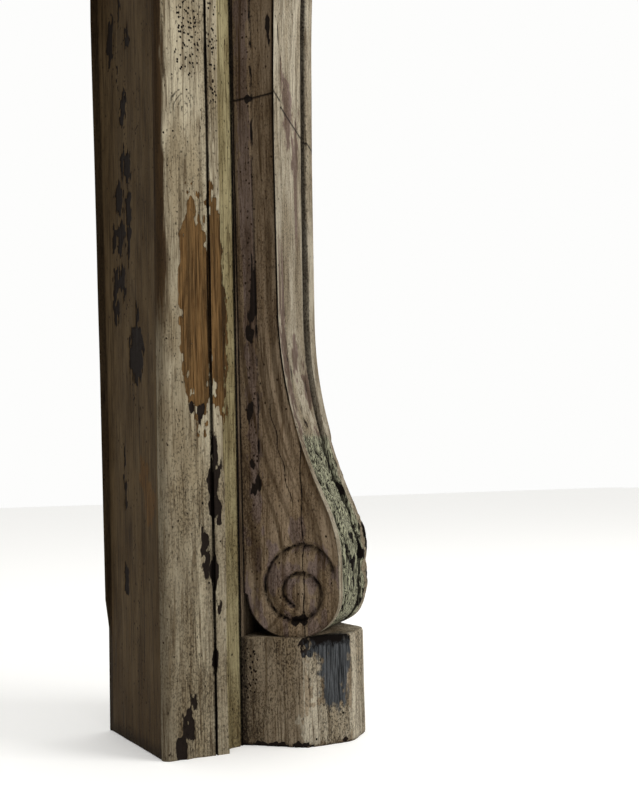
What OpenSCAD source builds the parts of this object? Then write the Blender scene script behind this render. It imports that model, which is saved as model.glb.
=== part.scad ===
// Fireplace mantelpiece: two jambs with canted scroll consoles, a serpentine
// frieze and a moulded shelf. Millimetres, +Z up, the wall is at +Y and the
// origin is on the floor, at the middle of the whole piece.

/* [Overall] */
// Width of the hearth opening between the jambs
opening_w = 1000; // [800:10:1400]
// Height from the floor to the top of the shelf
mantel_h = 1080; // [950:10:1400]
// Depth of a jamb, from the face of its stile to the wall
jamb_d = 157; // [135:1:220]

/* [Architrave] */
// Width of the moulded stile beside the opening
stile_w = 82; // [74:1:100]
// Thickness of the stiles, the frieze and the outer returns
board_t = 40; // [36:1:50]
// Radius of the stile's edge at the opening
edge_r = 8; // [4:1:9]
// Distance from the opening to the quirk
quirk_at = 48.7; // [40:0.1:52]
// Width of the quirk
quirk_w = 1.6; // [1:0.1:3]
// Depth of the quirk
quirk_d = 4; // [2:0.5:6]
// Width of the flat fillet beyond the quirk
fillet_w = 12; // [6:0.5:16]
// Depth of the cove between the fillet and the ground
cove_d = 19.7; // [14:0.1:20]
// How far the ground behind the cove lies back from the stile's face
ground_d = 23.3; // [20:0.1:30]
// Width of the ground between the cove and the console
ground_w = 4; // [3:0.5:8]
// Width and depth of the nick beside the cove
nick = 2; // [1:0.5:2.5]

/* [Reveal] */
// Thickness of the board that lines the opening
reveal_t = 22; // [18:1:30]
// Depth of the stile's lip in front of that board
lip_t = 10; // [9:1:14]
// Width of the roll along the board's back edge
roll_w = 8; // [6:1:12]
// How far the roll stands out at its foot
roll_foot = 5; // [3:1:8]
// How far the roll stands out at its head
roll_head = 14; // [9:1:20]

/* [Console] */
// Width of the console at its head
console_w = 119.2; // [100:0.1:140]
// Width of the console at its scroll
foot_w = 106; // [90:1:118]
// Front line of the waist, from the opening's corner along the cant
waist_u = 86.5; // [80:0.5:95]
// Front line of the scroll, from the opening's corner along the cant
scroll_u = 139; // [125:1:150]
// Radius of the scroll's round ends
scroll_r = 39.5; // [36:0.5:46]
// Flat length under the scroll
scroll_flat = 12.5; // [8:0.5:20]
// Height of the straight part in front of the scroll
scroll_rise = 27; // [10:1:40]
// Radius of the swelling above the scroll
swell_r = 137; // [100:1:180]
// Radius of the hollow below the waist
hollow_r = 450; // [350:5:600]
// Height at which the head starts to lean out
head_z = 550; // [500:10:700]
// Radius of the head's forward sweep
head_r = 4500; // [3000:100:8000]

/* [Console carving] */
// Width of the raised rim at each side of the front
rim_w = 20; // [14:1:26]
// Width of the channel beside each rim
channel_w = 8; // [4:1:10]
// Depth of the channels
channel_d = 8; // [4:1:10]
// How far the middle band lies below the rims
band_drop = 3; // [1:0.5:5]
// Depth of the sunk panel on each side
panel_d = 2.5; // [1:0.5:4]
// Height of the sunk panels above the floor
panel_z = 290; // [280:5:400]
// Distance from the console's root to its sunk panels
panel_in = 19; // [12:1:24]
// Width of the lip between a sunk panel and the front
panel_lip = 2.5; // [2:0.5:5]
// Distance from the sunk panels to the shelf
panel_end = 12; // [8:1:40]
// Width of the spiral's groove
spiral_w = 4; // [3:0.5:5]
// Depth of the spiral's groove
spiral_d = 4; // [2:0.5:6]
// Largest radius of the spiral
spiral_r = 43; // [38:1:44]
// Height of the leaf's tip above the floor
leaf_z = 345; // [330:5:400]
// Height of the leaf above the channels
leaf_t = 9; // [6:0.5:11]

/* [Plinth] */
// Height of the plinth under the scroll
plinth_h = 100; // [80:1:140]
// Front of the plinth, from the opening's corner along the cant
plinth_u = 141.7; // [130:0.1:160]
// Width of the plinth's canted corners, measured along the cant
plinth_cant = 36.5; // [20:0.5:50]

/* [Graft] */
// Height of the right console's joint, at its inner side
graft_z = 616; // [500:1:700]
// Slope of the joint across the console, in degrees
graft_fall = 13.5; // [5:0.5:20]
// Slope of the joint towards the front, in degrees
graft_rise = 7.4; // [0:0.2:12]

/* [Frieze] */
// Height of the frieze at its ends
frieze_h = 248; // [230:1:300]
// Radius of the opening's upper corners
corner_r = 70; // [60:1:80]
// Radius of the dips beside the middle arch
dip_r = 260; // [220:5:320]
// Turn from an upper corner into the dip, in degrees
dip_turn = 25; // [15:1:30]
// Turn from the dip into the middle arch, in degrees
arch_turn = 20; // [12:1:24]

/* [Shelf] */
// Thickness of the shelf with its moulding
shelf_t = 42; // [36:1:50]
// Overhang of the shelf at its middle, from the stile's face
shelf_front = 85; // [75:1:110]
// Overhang of the shelf beyond the outer returns
shelf_side = 54; // [45:1:70]
// Radius of the shelf's middle bow
bow_r = 1100; // [900:10:1500]
// Radius of the shelf's hollows
sweep_r = 1000; // [850:10:1400]
// Radius of the shelf's rounded corners
nose_r = 90; // [75:1:110]
// How far the corners' front stays behind the middle
nose_back = 30; // [20:1:40]

/* [Hidden] */
$fn = 96;

cream = [0.62, 0.59, 0.50];
olive = [0.45, 0.42, 0.31];
brown = [0.36, 0.31, 0.23];

// plan of a jamb: x runs away from the opening, y into the wall
arch_w = stile_w + ground_w;
ground_u = (arch_w - ground_d) / sqrt(2);
inner_w = (arch_w + ground_d) / sqrt(2);
axis_w = inner_w + console_w / 2;
jamb_w = axis_w * sqrt(2);
mitre = inner_w * sqrt(2);
back_u = (mitre - 2 * board_t) / sqrt(2);
fillet_end = quirk_at + quirk_w + fillet_w;
cove_w = stile_w - fillet_end;

// heights
top_z = mantel_h - shelf_t;
spring_z = top_z - frieze_h;

// depths in the part's own frame
total_d = jamb_d + shelf_front;
face_y = total_d / 2 - jamb_d;

function arc(c, r, a0, a1, n) =
    [for (i = [0 : n]) let (a = a0 + (a1 - a0) * i / n) c + r * [cos(a), sin(a)]];

// the same along an ellipse, rx wide and ry deep
function hollow(c, rx, ry, a0, a1, n) =
    [for (p = arc([0, 0], 1, a0, a1, n)) c + [rx * p[0], ry * p[1]]];

// ---- placing ----
module jamb(side) {
    mirror([side < 0 ? 1 : 0, 0, 0])
        translate([opening_w / 2, face_y, 0])
            children();
}

// x along the cant and out, y across the console, measured from its axis
module canted() {
    rotate([0, 0, -45])
        translate([0, axis_w, 0])
            children();
}

// an outline in x and z, thick from y0 to y1
module upright(y0, y1) {
    translate([0, y1, 0])
        rotate([90, 0, 0])
            linear_extrude(y1 - y0)
                children();
}

// ---- architrave section: distance from the opening and depth ----
edge_line = arc([edge_r, edge_r], edge_r, 180, 270, 5);
quirk_line = [
    [quirk_at, 0], [quirk_at, quirk_d],
    [quirk_at + quirk_w, quirk_d], [quirk_at + quirk_w, 0]
];
cove_line = hollow([stile_w, 0], cove_w, cove_d, 180, 90, 6);
nick_line = [[stile_w, ground_d + nick], [stile_w + nick, ground_d]];
moulding = concat(edge_line, quirk_line, cove_line, nick_line);

module stile_plan() {
    polygon(concat(
        [[reveal_t, lip_t], [0, lip_t]],
        moulding,
        [[arch_w, ground_d], [mitre - board_t, board_t], [reveal_t, board_t]]
    ));
}

module stile() {
    color(cream)
        linear_extrude(spring_z)
            stile_plan();
}

// the board that lines the opening, with a roll along its back edge
module reveal() {
    roll_z = plinth_h - 8;
    color(brown) {
        translate([0, lip_t, 0])
            cube([reveal_t, jamb_d - lip_t, spring_z]);
        translate([0, board_t, spring_z])
            cube([reveal_t, jamb_d - board_t, frieze_h]);
        upright(jamb_d - roll_w, jamb_d)
            polygon([
                [0, roll_z], [-roll_foot, roll_z + 38],
                [-roll_head, spring_z - 70], [-roll_head, top_z], [0, top_z]
            ]);
    }
}

// the outer side: the architrave's cove, then flat to the wall
module outer_return() {
    cove = hollow([jamb_w, jamb_w - stile_w], cove_d, cove_w, 180, 90, 6);
    color(olive)
        linear_extrude(top_z)
            polygon(concat(
                cove,
                [
                    [jamb_w, jamb_d], [jamb_w - board_t, jamb_d],
                    [jamb_w - board_t, jamb_w + board_t - mitre],
                    [jamb_w - ground_d, jamb_w - arch_w],
                    [jamb_w - ground_d, jamb_w - stile_w - nick],
                    [jamb_w - ground_d - nick, jamb_w - stile_w]
                ]
            ));
}

module plinth() {
    half = console_w / 2;
    side_u = plinth_u - plinth_cant;
    color(brown)
        canted()
            linear_extrude(plinth_h)
                polygon([
                    [back_u, -half], [side_u, -half],
                    [plinth_u, -half + plinth_cant],
                    [plinth_u, half - plinth_cant],
                    [side_u, half], [back_u, half]
                ]);
}

// ---- console: its outline seen from the side ----
scroll_z = plinth_h + scroll_r;
front_c = [scroll_u - scroll_r, scroll_z];
rear_c = front_c - [scroll_flat, 0];
swell_z = scroll_z + scroll_rise;
swell_c = [scroll_u - swell_r, swell_z];
fall = scroll_u - waist_u;
turn = acos(1 - fall / (swell_r + hollow_r));
hollow_c = [waist_u + hollow_r, swell_z + (swell_r + hollow_r) * sin(turn)];
head_turn = asin((top_z - head_z) / head_r);

// the outline's front from the scroll's foot to the head, lying i inside it
function front_line(i) = concat(
    arc(front_c, scroll_r - i, -90, 0, 12),
    arc(swell_c, swell_r - i, 0, turn, 6),
    arc(hollow_c, hollow_r + i, 180 + turn, 180, 10),
    arc([waist_u + head_r, head_z], head_r + i, 180, 180 - head_turn, 8)
);

module console_outline(i = 0) {
    polygon(concat(
        arc(rear_c, scroll_r - i, 180, 270, 12),
        front_line(i),
        [[ground_u, top_z], [ground_u, scroll_z]]
    ));
}

// everything within the console's tapering width, less i on each side
module between_sides(i = 0) {
    foot = foot_w / 2 - i;
    head = console_w / 2 - i;
    rotate([90, 0, 90])
        linear_extrude(scroll_u + 20)
            polygon([
                [-foot, 0], [foot, 0], [foot, swell_z], [head, head_z],
                [head, top_z], [-head, top_z], [-head, head_z], [-foot, swell_z]
            ]);
}

module console_slab(i, side_i) {
    intersection() {
        upright(-console_w, console_w)
            console_outline(i);
        between_sides(side_i);
    }
}

// ---- the scroll's spiral, a groove cut into both sides ----
spiral_c = [scroll_u - 40, scroll_z + 2.5];
spiral_from = 60;
spiral_to = 495;
quarter_shrink = 0.79;
function spiral_at(a, off) =
    spiral_c + (spiral_r * pow(quarter_shrink, (a - 90) / 90) + off) * [cos(a), sin(a)];

module spiral() {
    polygon(concat(
        [for (a = [spiral_from : 15 : spiral_to]) spiral_at(a, spiral_w / 2)],
        [for (a = [spiral_to : -15 : spiral_from]) spiral_at(a, -spiral_w / 2)]
    ));
}

module side_panel() {
    intersection() {
        console_outline(panel_lip);
        translate([ground_u + panel_in, panel_z])
            square([scroll_u, top_z - panel_z - panel_end]);
    }
}

// an outline cut into both sides of the console, to that depth
module side_skin(depth) {
    difference() {
        upright(-console_w, console_w)
            children();
        between_sides(depth);
    }
}

module side_cuts() {
    side_skin(spiral_d)
        spiral();
    side_skin(panel_d)
        side_panel();
}

// ---- the leaf on the front, a skin laid along the outline ----
leaf_rows = 30;
leaf_cols = 10;
leaf_half = foot_w / 2 - rim_w - 2;
tip_turn = asin((hollow_c[1] - leaf_z) / hollow_r);
low_turn = 62;

// place on the channel's floor and outward direction, f from tip to foot
function leaf_site(f) =
    let (i = channel_d)
    f < 0.5
        ? let (a = 180 + tip_turn + (turn - tip_turn) * f / 0.5)
            [hollow_c + (hollow_r + i) * [cos(a), sin(a)], -[cos(a), sin(a)]]
        : f < 0.72
            ? let (a = turn * (0.72 - f) / 0.22)
                [swell_c + (swell_r - i) * [cos(a), sin(a)], [cos(a), sin(a)]]
            : let (a = -low_turn * (f - 0.72) / 0.28)
                [front_c + (scroll_r - i) * [cos(a), sin(a)], [cos(a), sin(a)]];

// the leaf's half width: a long point with four lobes
function leaf_width(f) =
    leaf_half * pow(sin(90 * min(1, 0.08 + f * 1.25)), 0.8)
    * (0.86 + 0.14 * abs(cos(180 * 4 * f)));

// the leaf's height: crowned, with a sunk midrib and raised veins
function leaf_height(f, t) =
    1 + leaf_t * pow(max(0, 1 - t * t), 0.5) * (0.75 + 0.25 * f)
    - 2 * exp(-pow(t / 0.12, 2))
    + 0.8 * cos(180 * 8 * (f - 0.12 * abs(t)));

module leaf() {
    sunk = 3;
    top = [
        for (r = [0 : leaf_rows], c = [0 : leaf_cols])
            let (
                f = r / leaf_rows, t = 2 * c / leaf_cols - 1,
                site = leaf_site(f), p = site[0] + site[1] * leaf_height(f, t)
            )
            [p[0], t * leaf_width(f), p[1]]
    ];
    under = [
        for (r = [0 : leaf_rows], c = [0 : leaf_cols])
            let (
                f = r / leaf_rows, t = 2 * c / leaf_cols - 1,
                site = leaf_site(f), p = site[0] - site[1] * sunk
            )
            [p[0], t * leaf_width(f), p[1]]
    ];
    n = leaf_cols + 1;
    low = len(top);
    function quad(a, b, c, d) = [[a, b, c], [a, c, d]];
    sheet = [
        for (r = [0 : leaf_rows - 1], c = [0 : leaf_cols - 1])
            let (a = r * n + c)
            each concat(
                quad(a, a + 1, a + n + 1, a + n),
                quad(low + a + n, low + a + n + 1, low + a + 1, low + a)
            )
    ];
    ends = [
        for (c = [0 : leaf_cols - 1])
            let (a = c, b = leaf_rows * n + c)
            each concat(
                quad(a + 1, a, low + a, low + a + 1),
                quad(b, b + 1, low + b + 1, low + b)
            )
    ];
    sides = [
        for (r = [0 : leaf_rows - 1])
            let (a = r * n, b = r * n + leaf_cols)
            each concat(
                quad(a, a + n, low + a + n, low + a),
                quad(b + n, b, low + b, low + b + n)
            )
    ];
    polyhedron(concat(top, under), concat(sheet, ends, sides));
}

module uncarved_console() {
    translate([back_u, -console_w / 2, plinth_h])
        cube([ground_u - back_u, console_w, top_z - plinth_h]);
    difference() {
        union() {
            console_slab(channel_d, 0);
            console_slab(band_drop, rim_w + channel_w);
            difference() {
                console_slab(0, 0);
                between_sides(rim_w);
            }
        }
        side_cuts();
    }
}

module console() {
    color(brown)
        canted() {
            uncarved_console();
            leaf();
        }
}

// all that lies above the graft's joint, or below it
module graft_space(above) {
    side = 900;
    translate([waist_u, -console_w / 2, graft_z])
        rotate([-graft_fall, -graft_rise, 0])
            translate([-side / 2, -side / 2, above ? 0 : -side])
                cube(side);
}

module console_upper() {
    color(brown)
        canted()
            intersection() {
                uncarved_console();
                graft_space(true);
            }
}

module console_lower() {
    color(brown)
        canted() {
            intersection() {
                uncarved_console();
                graft_space(false);
            }
            leaf();
        }
}

// ---- frieze: the architrave follows a serpentine edge of tangent arcs ----
corner_c = [opening_w / 2 - corner_r, spring_z];
dip_c = corner_c + (corner_r + dip_r) * [-sin(dip_turn), cos(dip_turn)];
arch_r = dip_c[0] / sin(arch_turn) - dip_r;
arch_c = dip_c - (dip_r + arch_r) * [sin(arch_turn), cos(arch_turn)];

// the end of the board is mitred against the console's side
function end_x(y) = opening_w / 2 + mitre - y;
function corner_turn(y) = atan2(frieze_h, end_x(y) - corner_c[0]);

// stations along the edge: each has its place and the way out of the opening
function stations(c, r, a0, a1, n, way) =
    [for (i = [1 : n]) let (a = a0 + (a1 - a0) * i / n)
        [c + r * [cos(a), sin(a)], way * [cos(a), sin(a)]]];
front_turn = corner_turn(ground_d);
back_turn = corner_turn(board_t);
half_edge = concat(
    stations(corner_c, corner_r, 0, 0, 1, 1),
    stations(corner_c, corner_r, 0, front_turn, 5, 1),
    stations(corner_c, corner_r, front_turn, back_turn, 1, 1),
    stations(corner_c, corner_r, back_turn, 90 + dip_turn, 4, 1),
    stations(dip_c, dip_r, 270 + dip_turn, 270 - arch_turn, 8, -1),
    stations(arch_c, arch_r, 90 - arch_turn, 90, 6, 1)
);
middle = len(half_edge) - 1;
edge = concat(
    half_edge,
    [for (i = [middle - 1 : -1 : 0]) let (s = half_edge[i])
        [[-s[0][0], s[0][1]], [-s[1][0], s[1][1]]]]
);

// how far the board reaches beyond the edge at a station, at depth y
function reach(s, y) = min(
    abs(s[1][0]) < 0.001 ? 1e6 : (end_x(y) - abs(s[0][0])) / abs(s[1][0]),
    s[1][1] < 0.001 ? 1e6 : (top_z - s[0][1]) / s[1][1]
);

module frieze() {
    n = len(moulding) + 3;
    section = concat([[0, board_t]], moulding);
    points = [
        for (s = edge)
            let (far = [for (y = [ground_d, board_t]) [reach(s, y), y]])
            for (q = concat(section, far))
                [s[0][0] + q[0] * s[1][0], q[1], s[0][1] + q[0] * s[1][1]]
    ];
    skin = [
        for (k = [0 : len(edge) - 2], j = [0 : n - 1])
            let (a = k * n + j, b = k * n + (j + 1) % n)
            each k < middle
                ? [[a, b, b + n], [a, b + n, a + n]]
                : [[a, b, a + n], [b, b + n, a + n]]
    ];
    // the ends are hollow too: after an ear at the quirk they fan out from the edge's
    // back corner as far as the nick, and past it from the board's back corner
    last = n - 1;
    quirk = len(edge_line) + len(quirk_line) - 1;
    nick_at = len(moulding) - 1;
    fans = concat(
        [[quirk, quirk + 1, quirk + 2], [0, quirk, quirk + 2], [0, nick_at, last]],
        [for (j = [1 : quirk - 1]) [0, j, j + 1]],
        [for (j = [quirk + 2 : nick_at - 1]) [0, j, j + 1]],
        [for (j = [nick_at : last - 2]) [last, j, j + 1]]
    );
    top = (len(edge) - 1) * n;
    caps = [for (t = fans) each [[t[0], t[2], t[1]], [top + t[0], top + t[1], top + t[2]]]];
    color(cream)
        translate([0, face_y, 0])
            polyhedron(points, concat(skin, caps));
}

// ---- shelf: a serpentine front of tangent arcs, lying i inside the edge ----
half_shelf = opening_w / 2 + jamb_w + shelf_side;
bow_c = [0, bow_r - shelf_front];
nose_c = [half_shelf - nose_r, nose_r + nose_back - shelf_front];
bow_reach = bow_r + sweep_r;
nose_reach = nose_r + sweep_r;
apart = norm(nose_c - bow_c);
along = (bow_reach * bow_reach - nose_reach * nose_reach + apart * apart) / (2 * apart);
aside = sqrt(bow_reach * bow_reach - along * along);
to_nose = (nose_c - bow_c) / apart;
sweep_c = bow_c + along * to_nose + aside * [to_nose[1], -to_nose[0]];
bow_turn = atan2(sweep_c[1] - bow_c[1], sweep_c[0] - bow_c[0]);
nose_turn = atan2(sweep_c[1] - nose_c[1], sweep_c[0] - nose_c[0]);

function rest(v) = [for (k = [1 : len(v) - 1]) v[k]];
function half_front(i) = concat(
    arc(bow_c, bow_r - i, -90, bow_turn, 5),
    rest(arc(sweep_c, sweep_r + i, bow_turn + 180, nose_turn + 180, 10)),
    rest(arc(nose_c, nose_r - i, nose_turn, 0, 9))
);
function shelf_plan(i) =
    let (right = half_front(i), m = len(right))
    concat(
        right,
        [[half_shelf - i, jamb_d], [0, jamb_d], [i - half_shelf, jamb_d]],
        [for (k = [m - 1 : -1 : 1]) [-right[k][0], right[k][1]]]
    );

// height above the underside and inset: fillet, cove, ledge, rounded nosing
bed_h = 6;
bed_in = 22;
bed_cove = 14;
ledge_h = 1;
nosing_in = 4;
nosing_r = (shelf_t - bed_h - bed_cove - 2 * ledge_h) / 2;
shelf_section = concat(
    [[0, bed_in], [bed_h, bed_in]],
    rest(arc([bed_h, bed_in - bed_cove], bed_cove, 90, 0, 5)),
    [[bed_h + bed_cove + ledge_h, nosing_in + ledge_h]],
    [for (p = arc([0, 0], 1, -80, 80, 8))
        [shelf_t - nosing_r * (1 - p[1]), nosing_in * (1 - p[0])]],
    [[shelf_t, nosing_in + ledge_h]]
);

module shelf() {
    rings = [for (q = shelf_section) shelf_plan(q[1])];
    n = len(rings[0]);
    points = [
        for (k = [0 : len(rings) - 1], p = rings[k])
            [p[0], p[1], top_z + shelf_section[k][0]]
    ];
    skin = [
        for (k = [0 : len(rings) - 2], j = [0 : n - 1])
            let (a = k * n + j, b = k * n + (j + 1) % n)
            each [[b, a, a + n], [b, a + n, b + n]]
    ];
    // the outline is hollow in front, so each cap fans out from the middle of the back
    hub = len(half_front(0)) + 1;
    top = (len(rings) - 1) * n;
    caps = [
        for (k = [1 : n - 2])
            let (a = (hub + k) % n, b = (hub + k + 1) % n)
            each [[hub, a, b], [top + hub, top + b, top + a]]
    ];
    color(cream)
        translate([0, face_y, 0])
            polyhedron(points, concat(skin, caps));
}

shelf();
frieze();
jamb(1) stile();  // right_stile
jamb(1) reveal();  // right_reveal
jamb(1) outer_return();  // right_return
jamb(1) plinth();  // right_plinth
jamb(1) console_lower();  // right_console_lower
jamb(1) console_upper();  // right_console_upper
jamb(-1) stile();  // left_stile
jamb(-1) reveal();  // left_reveal
jamb(-1) outer_return();  // left_return
jamb(-1) plinth();  // left_plinth
jamb(-1) console();  // left_console
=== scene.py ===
import math
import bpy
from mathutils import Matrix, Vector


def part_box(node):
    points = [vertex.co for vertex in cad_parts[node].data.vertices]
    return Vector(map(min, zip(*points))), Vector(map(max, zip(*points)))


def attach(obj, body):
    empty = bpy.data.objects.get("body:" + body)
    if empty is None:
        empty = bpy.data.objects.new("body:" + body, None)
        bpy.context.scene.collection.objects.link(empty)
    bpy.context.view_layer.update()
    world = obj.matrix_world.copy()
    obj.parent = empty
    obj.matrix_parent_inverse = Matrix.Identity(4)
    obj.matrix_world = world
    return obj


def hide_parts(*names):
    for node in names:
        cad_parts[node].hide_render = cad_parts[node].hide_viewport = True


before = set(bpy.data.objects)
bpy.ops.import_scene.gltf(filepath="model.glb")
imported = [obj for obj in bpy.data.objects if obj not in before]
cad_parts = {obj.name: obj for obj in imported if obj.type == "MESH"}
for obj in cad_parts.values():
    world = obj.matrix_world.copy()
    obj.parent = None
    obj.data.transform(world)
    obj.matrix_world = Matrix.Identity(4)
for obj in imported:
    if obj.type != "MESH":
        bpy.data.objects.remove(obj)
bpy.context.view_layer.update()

from types import SimpleNamespace

import bpy
import numpy as np
from bpy.props import FloatProperty, FloatVectorProperty, IntProperty, PointerProperty
from mathutils import Matrix, Vector

bl_info = {
    "name": "Carved Fireplace Mantelpiece",
    "version": (1, 0, 0),
    "blender": (4, 5, 0),
    "location": "View3D > Sidebar > Mantelpiece",
    "description": "Old painted wooden mantelpiece with scroll consoles on plinths",
    "category": "Object",
}

MM = 0.001
BODY = "root"


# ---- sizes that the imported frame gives, in millimetres ----
def node_box(node):
    """A CAD node's lowest and highest corner in millimetres."""
    low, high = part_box(node)
    return np.array(low) / MM, np.array(high) / MM


STILE_LOW, STILE_HIGH = node_box("right_stile")
REVEAL_HIGH = node_box("right_reveal")[1]
RETURN_HIGH = node_box("right_return")[1]
PLINTH_HIGH = node_box("right_plinth")[1]
SHELF_HIGH = node_box("shelf")[1]
HALF_OPENING = STILE_LOW[0]
FACE_Y = STILE_LOW[1]
JAMB_D = REVEAL_HIGH[1] - FACE_Y
JAMB_W = RETURN_HIGH[0] - HALF_OPENING
SPRING_Z = STILE_HIGH[2]
TOP_Z = RETURN_HIGH[2]
PLINTH_H = PLINTH_HIGH[2]
HALF_SHELF = SHELF_HIGH[0]
MANTEL_H = SHELF_HIGH[2]
# above this height the jambs' boards are built with coarser rows
PLAIN_Z = SPRING_Z - 70
# the flat between the cove's nick and the cant
LEDGE_W = 4


def linear(hex_colour):
    """An sRGB hex colour as a linear RGB triple."""
    parts = [int(hex_colour[i : i + 2], 16) / 255 for i in (0, 2, 4)]
    return tuple(c / 12.92 if c <= 0.04045 else ((c + 0.055) / 1.055) ** 2.4 for c in parts)


def length(label, text, mm):
    """A length property, given in millimetres and kept in metres."""
    return FloatProperty(name=label, description=text, default=mm * MM, min=0, unit="LENGTH")


def colour(label, text, hex_colour):
    """A colour property; its default is an sRGB hex value."""
    return FloatVectorProperty(
        name=label, description=text, default=linear(hex_colour), subtype="COLOR", min=0, max=1
    )


class ArchitraveSizes(bpy.types.PropertyGroup):
    """The moulded boards round the opening."""

    stile_w: length("Stile width", "From the opening's edge to the end of the cove", 82)
    board_t: length("Board thickness", "Thickness of the moulded boards", 40)
    edge_r: length("Edge radius", "Rounding of the edge at the opening", 8)
    quirk_at: length("Quirk place", "From the opening's edge to the quirk", 48.7)
    quirk_w: length("Quirk width", "Width of the narrow groove", 1.6)
    quirk_d: length("Quirk depth", "Depth of the narrow groove", 4)
    fillet_w: length("Fillet width", "Flat fillet beyond the quirk", 12)
    cove_d: length("Cove depth", "Depth of the cove beyond the fillet", 19.7)
    ground_d: length("Ground depth", "How far the ground lies behind the face", 23.3)
    nick: length("Nick", "Width and depth of the nick beside the cove", 2)
    lip_t: length("Lip", "Thickness of the stile in front of the reveal", 10)
    reveal_t: length("Reveal thickness", "Thickness of the board that lines the opening", 22)
    roll_w: length("Roll width", "Width of the roll along the reveal's back edge", 8)
    roll_foot: length("Roll at the foot", "How far the roll stands proud at its foot", 5)
    roll_head: length("Roll at the head", "How far the roll stands proud at its head", 14)


class ConsoleSizes(bpy.types.PropertyGroup):
    """The canted consoles and their plinths."""

    console_w: length("Width at the head", "Width of the console's head", 119.2)
    foot_w: length("Width at the scroll", "Width of the console's foot", 106)
    waist_u: length("Waist", "How far the waist stands out", 86.5)
    scroll_u: length("Scroll", "How far the scroll stands out", 139)
    scroll_r: length("Scroll radius", "Radius of the scroll's foot", 39.5)
    scroll_flat: length("Scroll flat", "Distance between the scroll's two centres", 12.5)
    scroll_rise: length("Scroll rise", "Straight rise in front of the scroll", 27)
    swell_r: length("Swell radius", "Radius of the swelling above the scroll", 137)
    hollow_r: length("Hollow radius", "Radius of the hollow below the waist", 450)
    head_z: length("Head height", "Where the head starts to lean out", 550)
    head_r: length("Head radius", "Radius of the head's lean", 4500)
    rim_w: length("Rim width", "Width of the rims along the front", 20)
    channel_w: length("Channel width", "Width of the channels beside the rims", 8)
    channel_d: length("Channel depth", "Depth of the channels", 8)
    band_drop: length("Band drop", "How far the middle band lies behind the rims", 3)
    panel_d: length("Panel depth", "Depth of the sunk side panels", 2.5)
    spiral_r: length("Spiral radius", "Radius of the spiral over its top", 43)
    spiral_d: length("Spiral depth", "Depth of the spiral groove", 4)
    leaf_z: length("Leaf tip", "Height of the leaf's tip", 345)
    leaf_t: length("Leaf thickness", "Thickness of the leaf on the front", 9)
    plinth_u: length("Plinth front", "How far the plinth stands out", 141.7)
    plinth_cant: length("Plinth cant", "Width of the plinth's canted corners", 36.5)
    graft_z: length("Graft height", "Height of the old graft in the right console", 616)


class FriezeSizes(bpy.types.PropertyGroup):
    """The serpentine frieze and the shelf."""

    corner_r: length("Corner radius", "Radius of the opening's upper corners", 70)
    dip_r: length("Dip radius", "Radius of the dips beside the arch", 260)
    shelf_front: length("Shelf front", "How far the shelf stands out", 85)
    bow_r: length("Bow radius", "Radius of the shelf's bowed middle", 1100)
    sweep_r: length("Sweep radius", "Radius of the shelf's sweeps", 1000)
    nose_r: length("Nose radius", "Radius of the shelf's rounded corners", 90)
    nose_back: length("Nose set-back", "How far the corners lie behind the bow", 30)


class WearSizes(bpy.types.PropertyGroup):
    """Where the right jamb is worn; zones in which smaller damage is strewn."""

    patch_z: length("Bare patch height", "Height of the middle of the stile's bare patch", 405)
    patch_h: length("Bare patch length", "Length of the bare patch", 200)
    patch_from: length("Bare patch start", "From the opening's edge to the patch", 20)
    patch_to: length("Bare patch end", "From the opening's edge to the patch's far side", 75)
    worm_z: length("Worm height", "Height of the middle of the wormholes", 660)
    worm_h: length("Worm length", "Length of the stretch with wormholes", 90)
    knot_z: length("Knot height", "Height of the knot in the stile", 590)
    knot_x: length("Knot place", "From the opening's edge to the knot", 26)
    chain_low: length("Chips from", "Lower end of the run of chips on the reveal", 410)
    chain_high: length("Chips to", "Upper end of the run of chips on the reveal", 560)
    big_chip_z: length("Large chip height", "Height of the reveal's single large chip", 370)
    big_chip_y: length("Large chip depth", "Depth of the reveal's single large chip", 65)
    crack_z: length("Crack height", "Upper end of the crack in the console's side", 290)
    crack_u: length("Crack place", "How far out that crack starts", 80)


class PaintColours(bpy.types.PropertyGroup):
    """The paints, the wood, and the dark colour of dirt and of painted shade."""

    cream: colour("Cream", "Old cream paint on the mouldings", "968d78")
    pale_cream: colour("Pale cream", "Cream paint on the console's front", "a09886")
    olive: colour("Olive", "Olive paint in the cove", "8e8565")
    umber: colour("Umber", "Brown-grey paint on the reveal", "51432f")
    drab: colour("Drab", "Olive-brown paint on the console's sides", "98866f")
    stone: colour("Stone", "Grey-brown paint on the plinth", "8b7e6a")
    mauve: colour("Mauve", "Purple-grey old undercoat", "8a7a72")
    bare_wood: colour("Bare wood", "Rubbed orange-brown wood", "5a4429")
    old_wood: colour("Old wood", "Dark aged wood under lost paint", "1e1814")
    fibre: colour("Fibre", "Grey-green torn fibres of the leaf", "99987f")
    # the dark colour of dirt in grooves and pores, also used for painted shade in grooves, creases and
    # corners and along the foot
    soot: colour("Soot", "Blue-black scorching", "262728")
    dirt: colour("Dirt", "Dirt in grooves", "120d0a")


def sizes(group_name):
    """A property group's lengths, in millimetres."""
    group = getattr(bpy.context.scene, group_name)
    names = group.__annotations__
    return SimpleNamespace(**{n: getattr(group, n) / MM for n in names})


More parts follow.
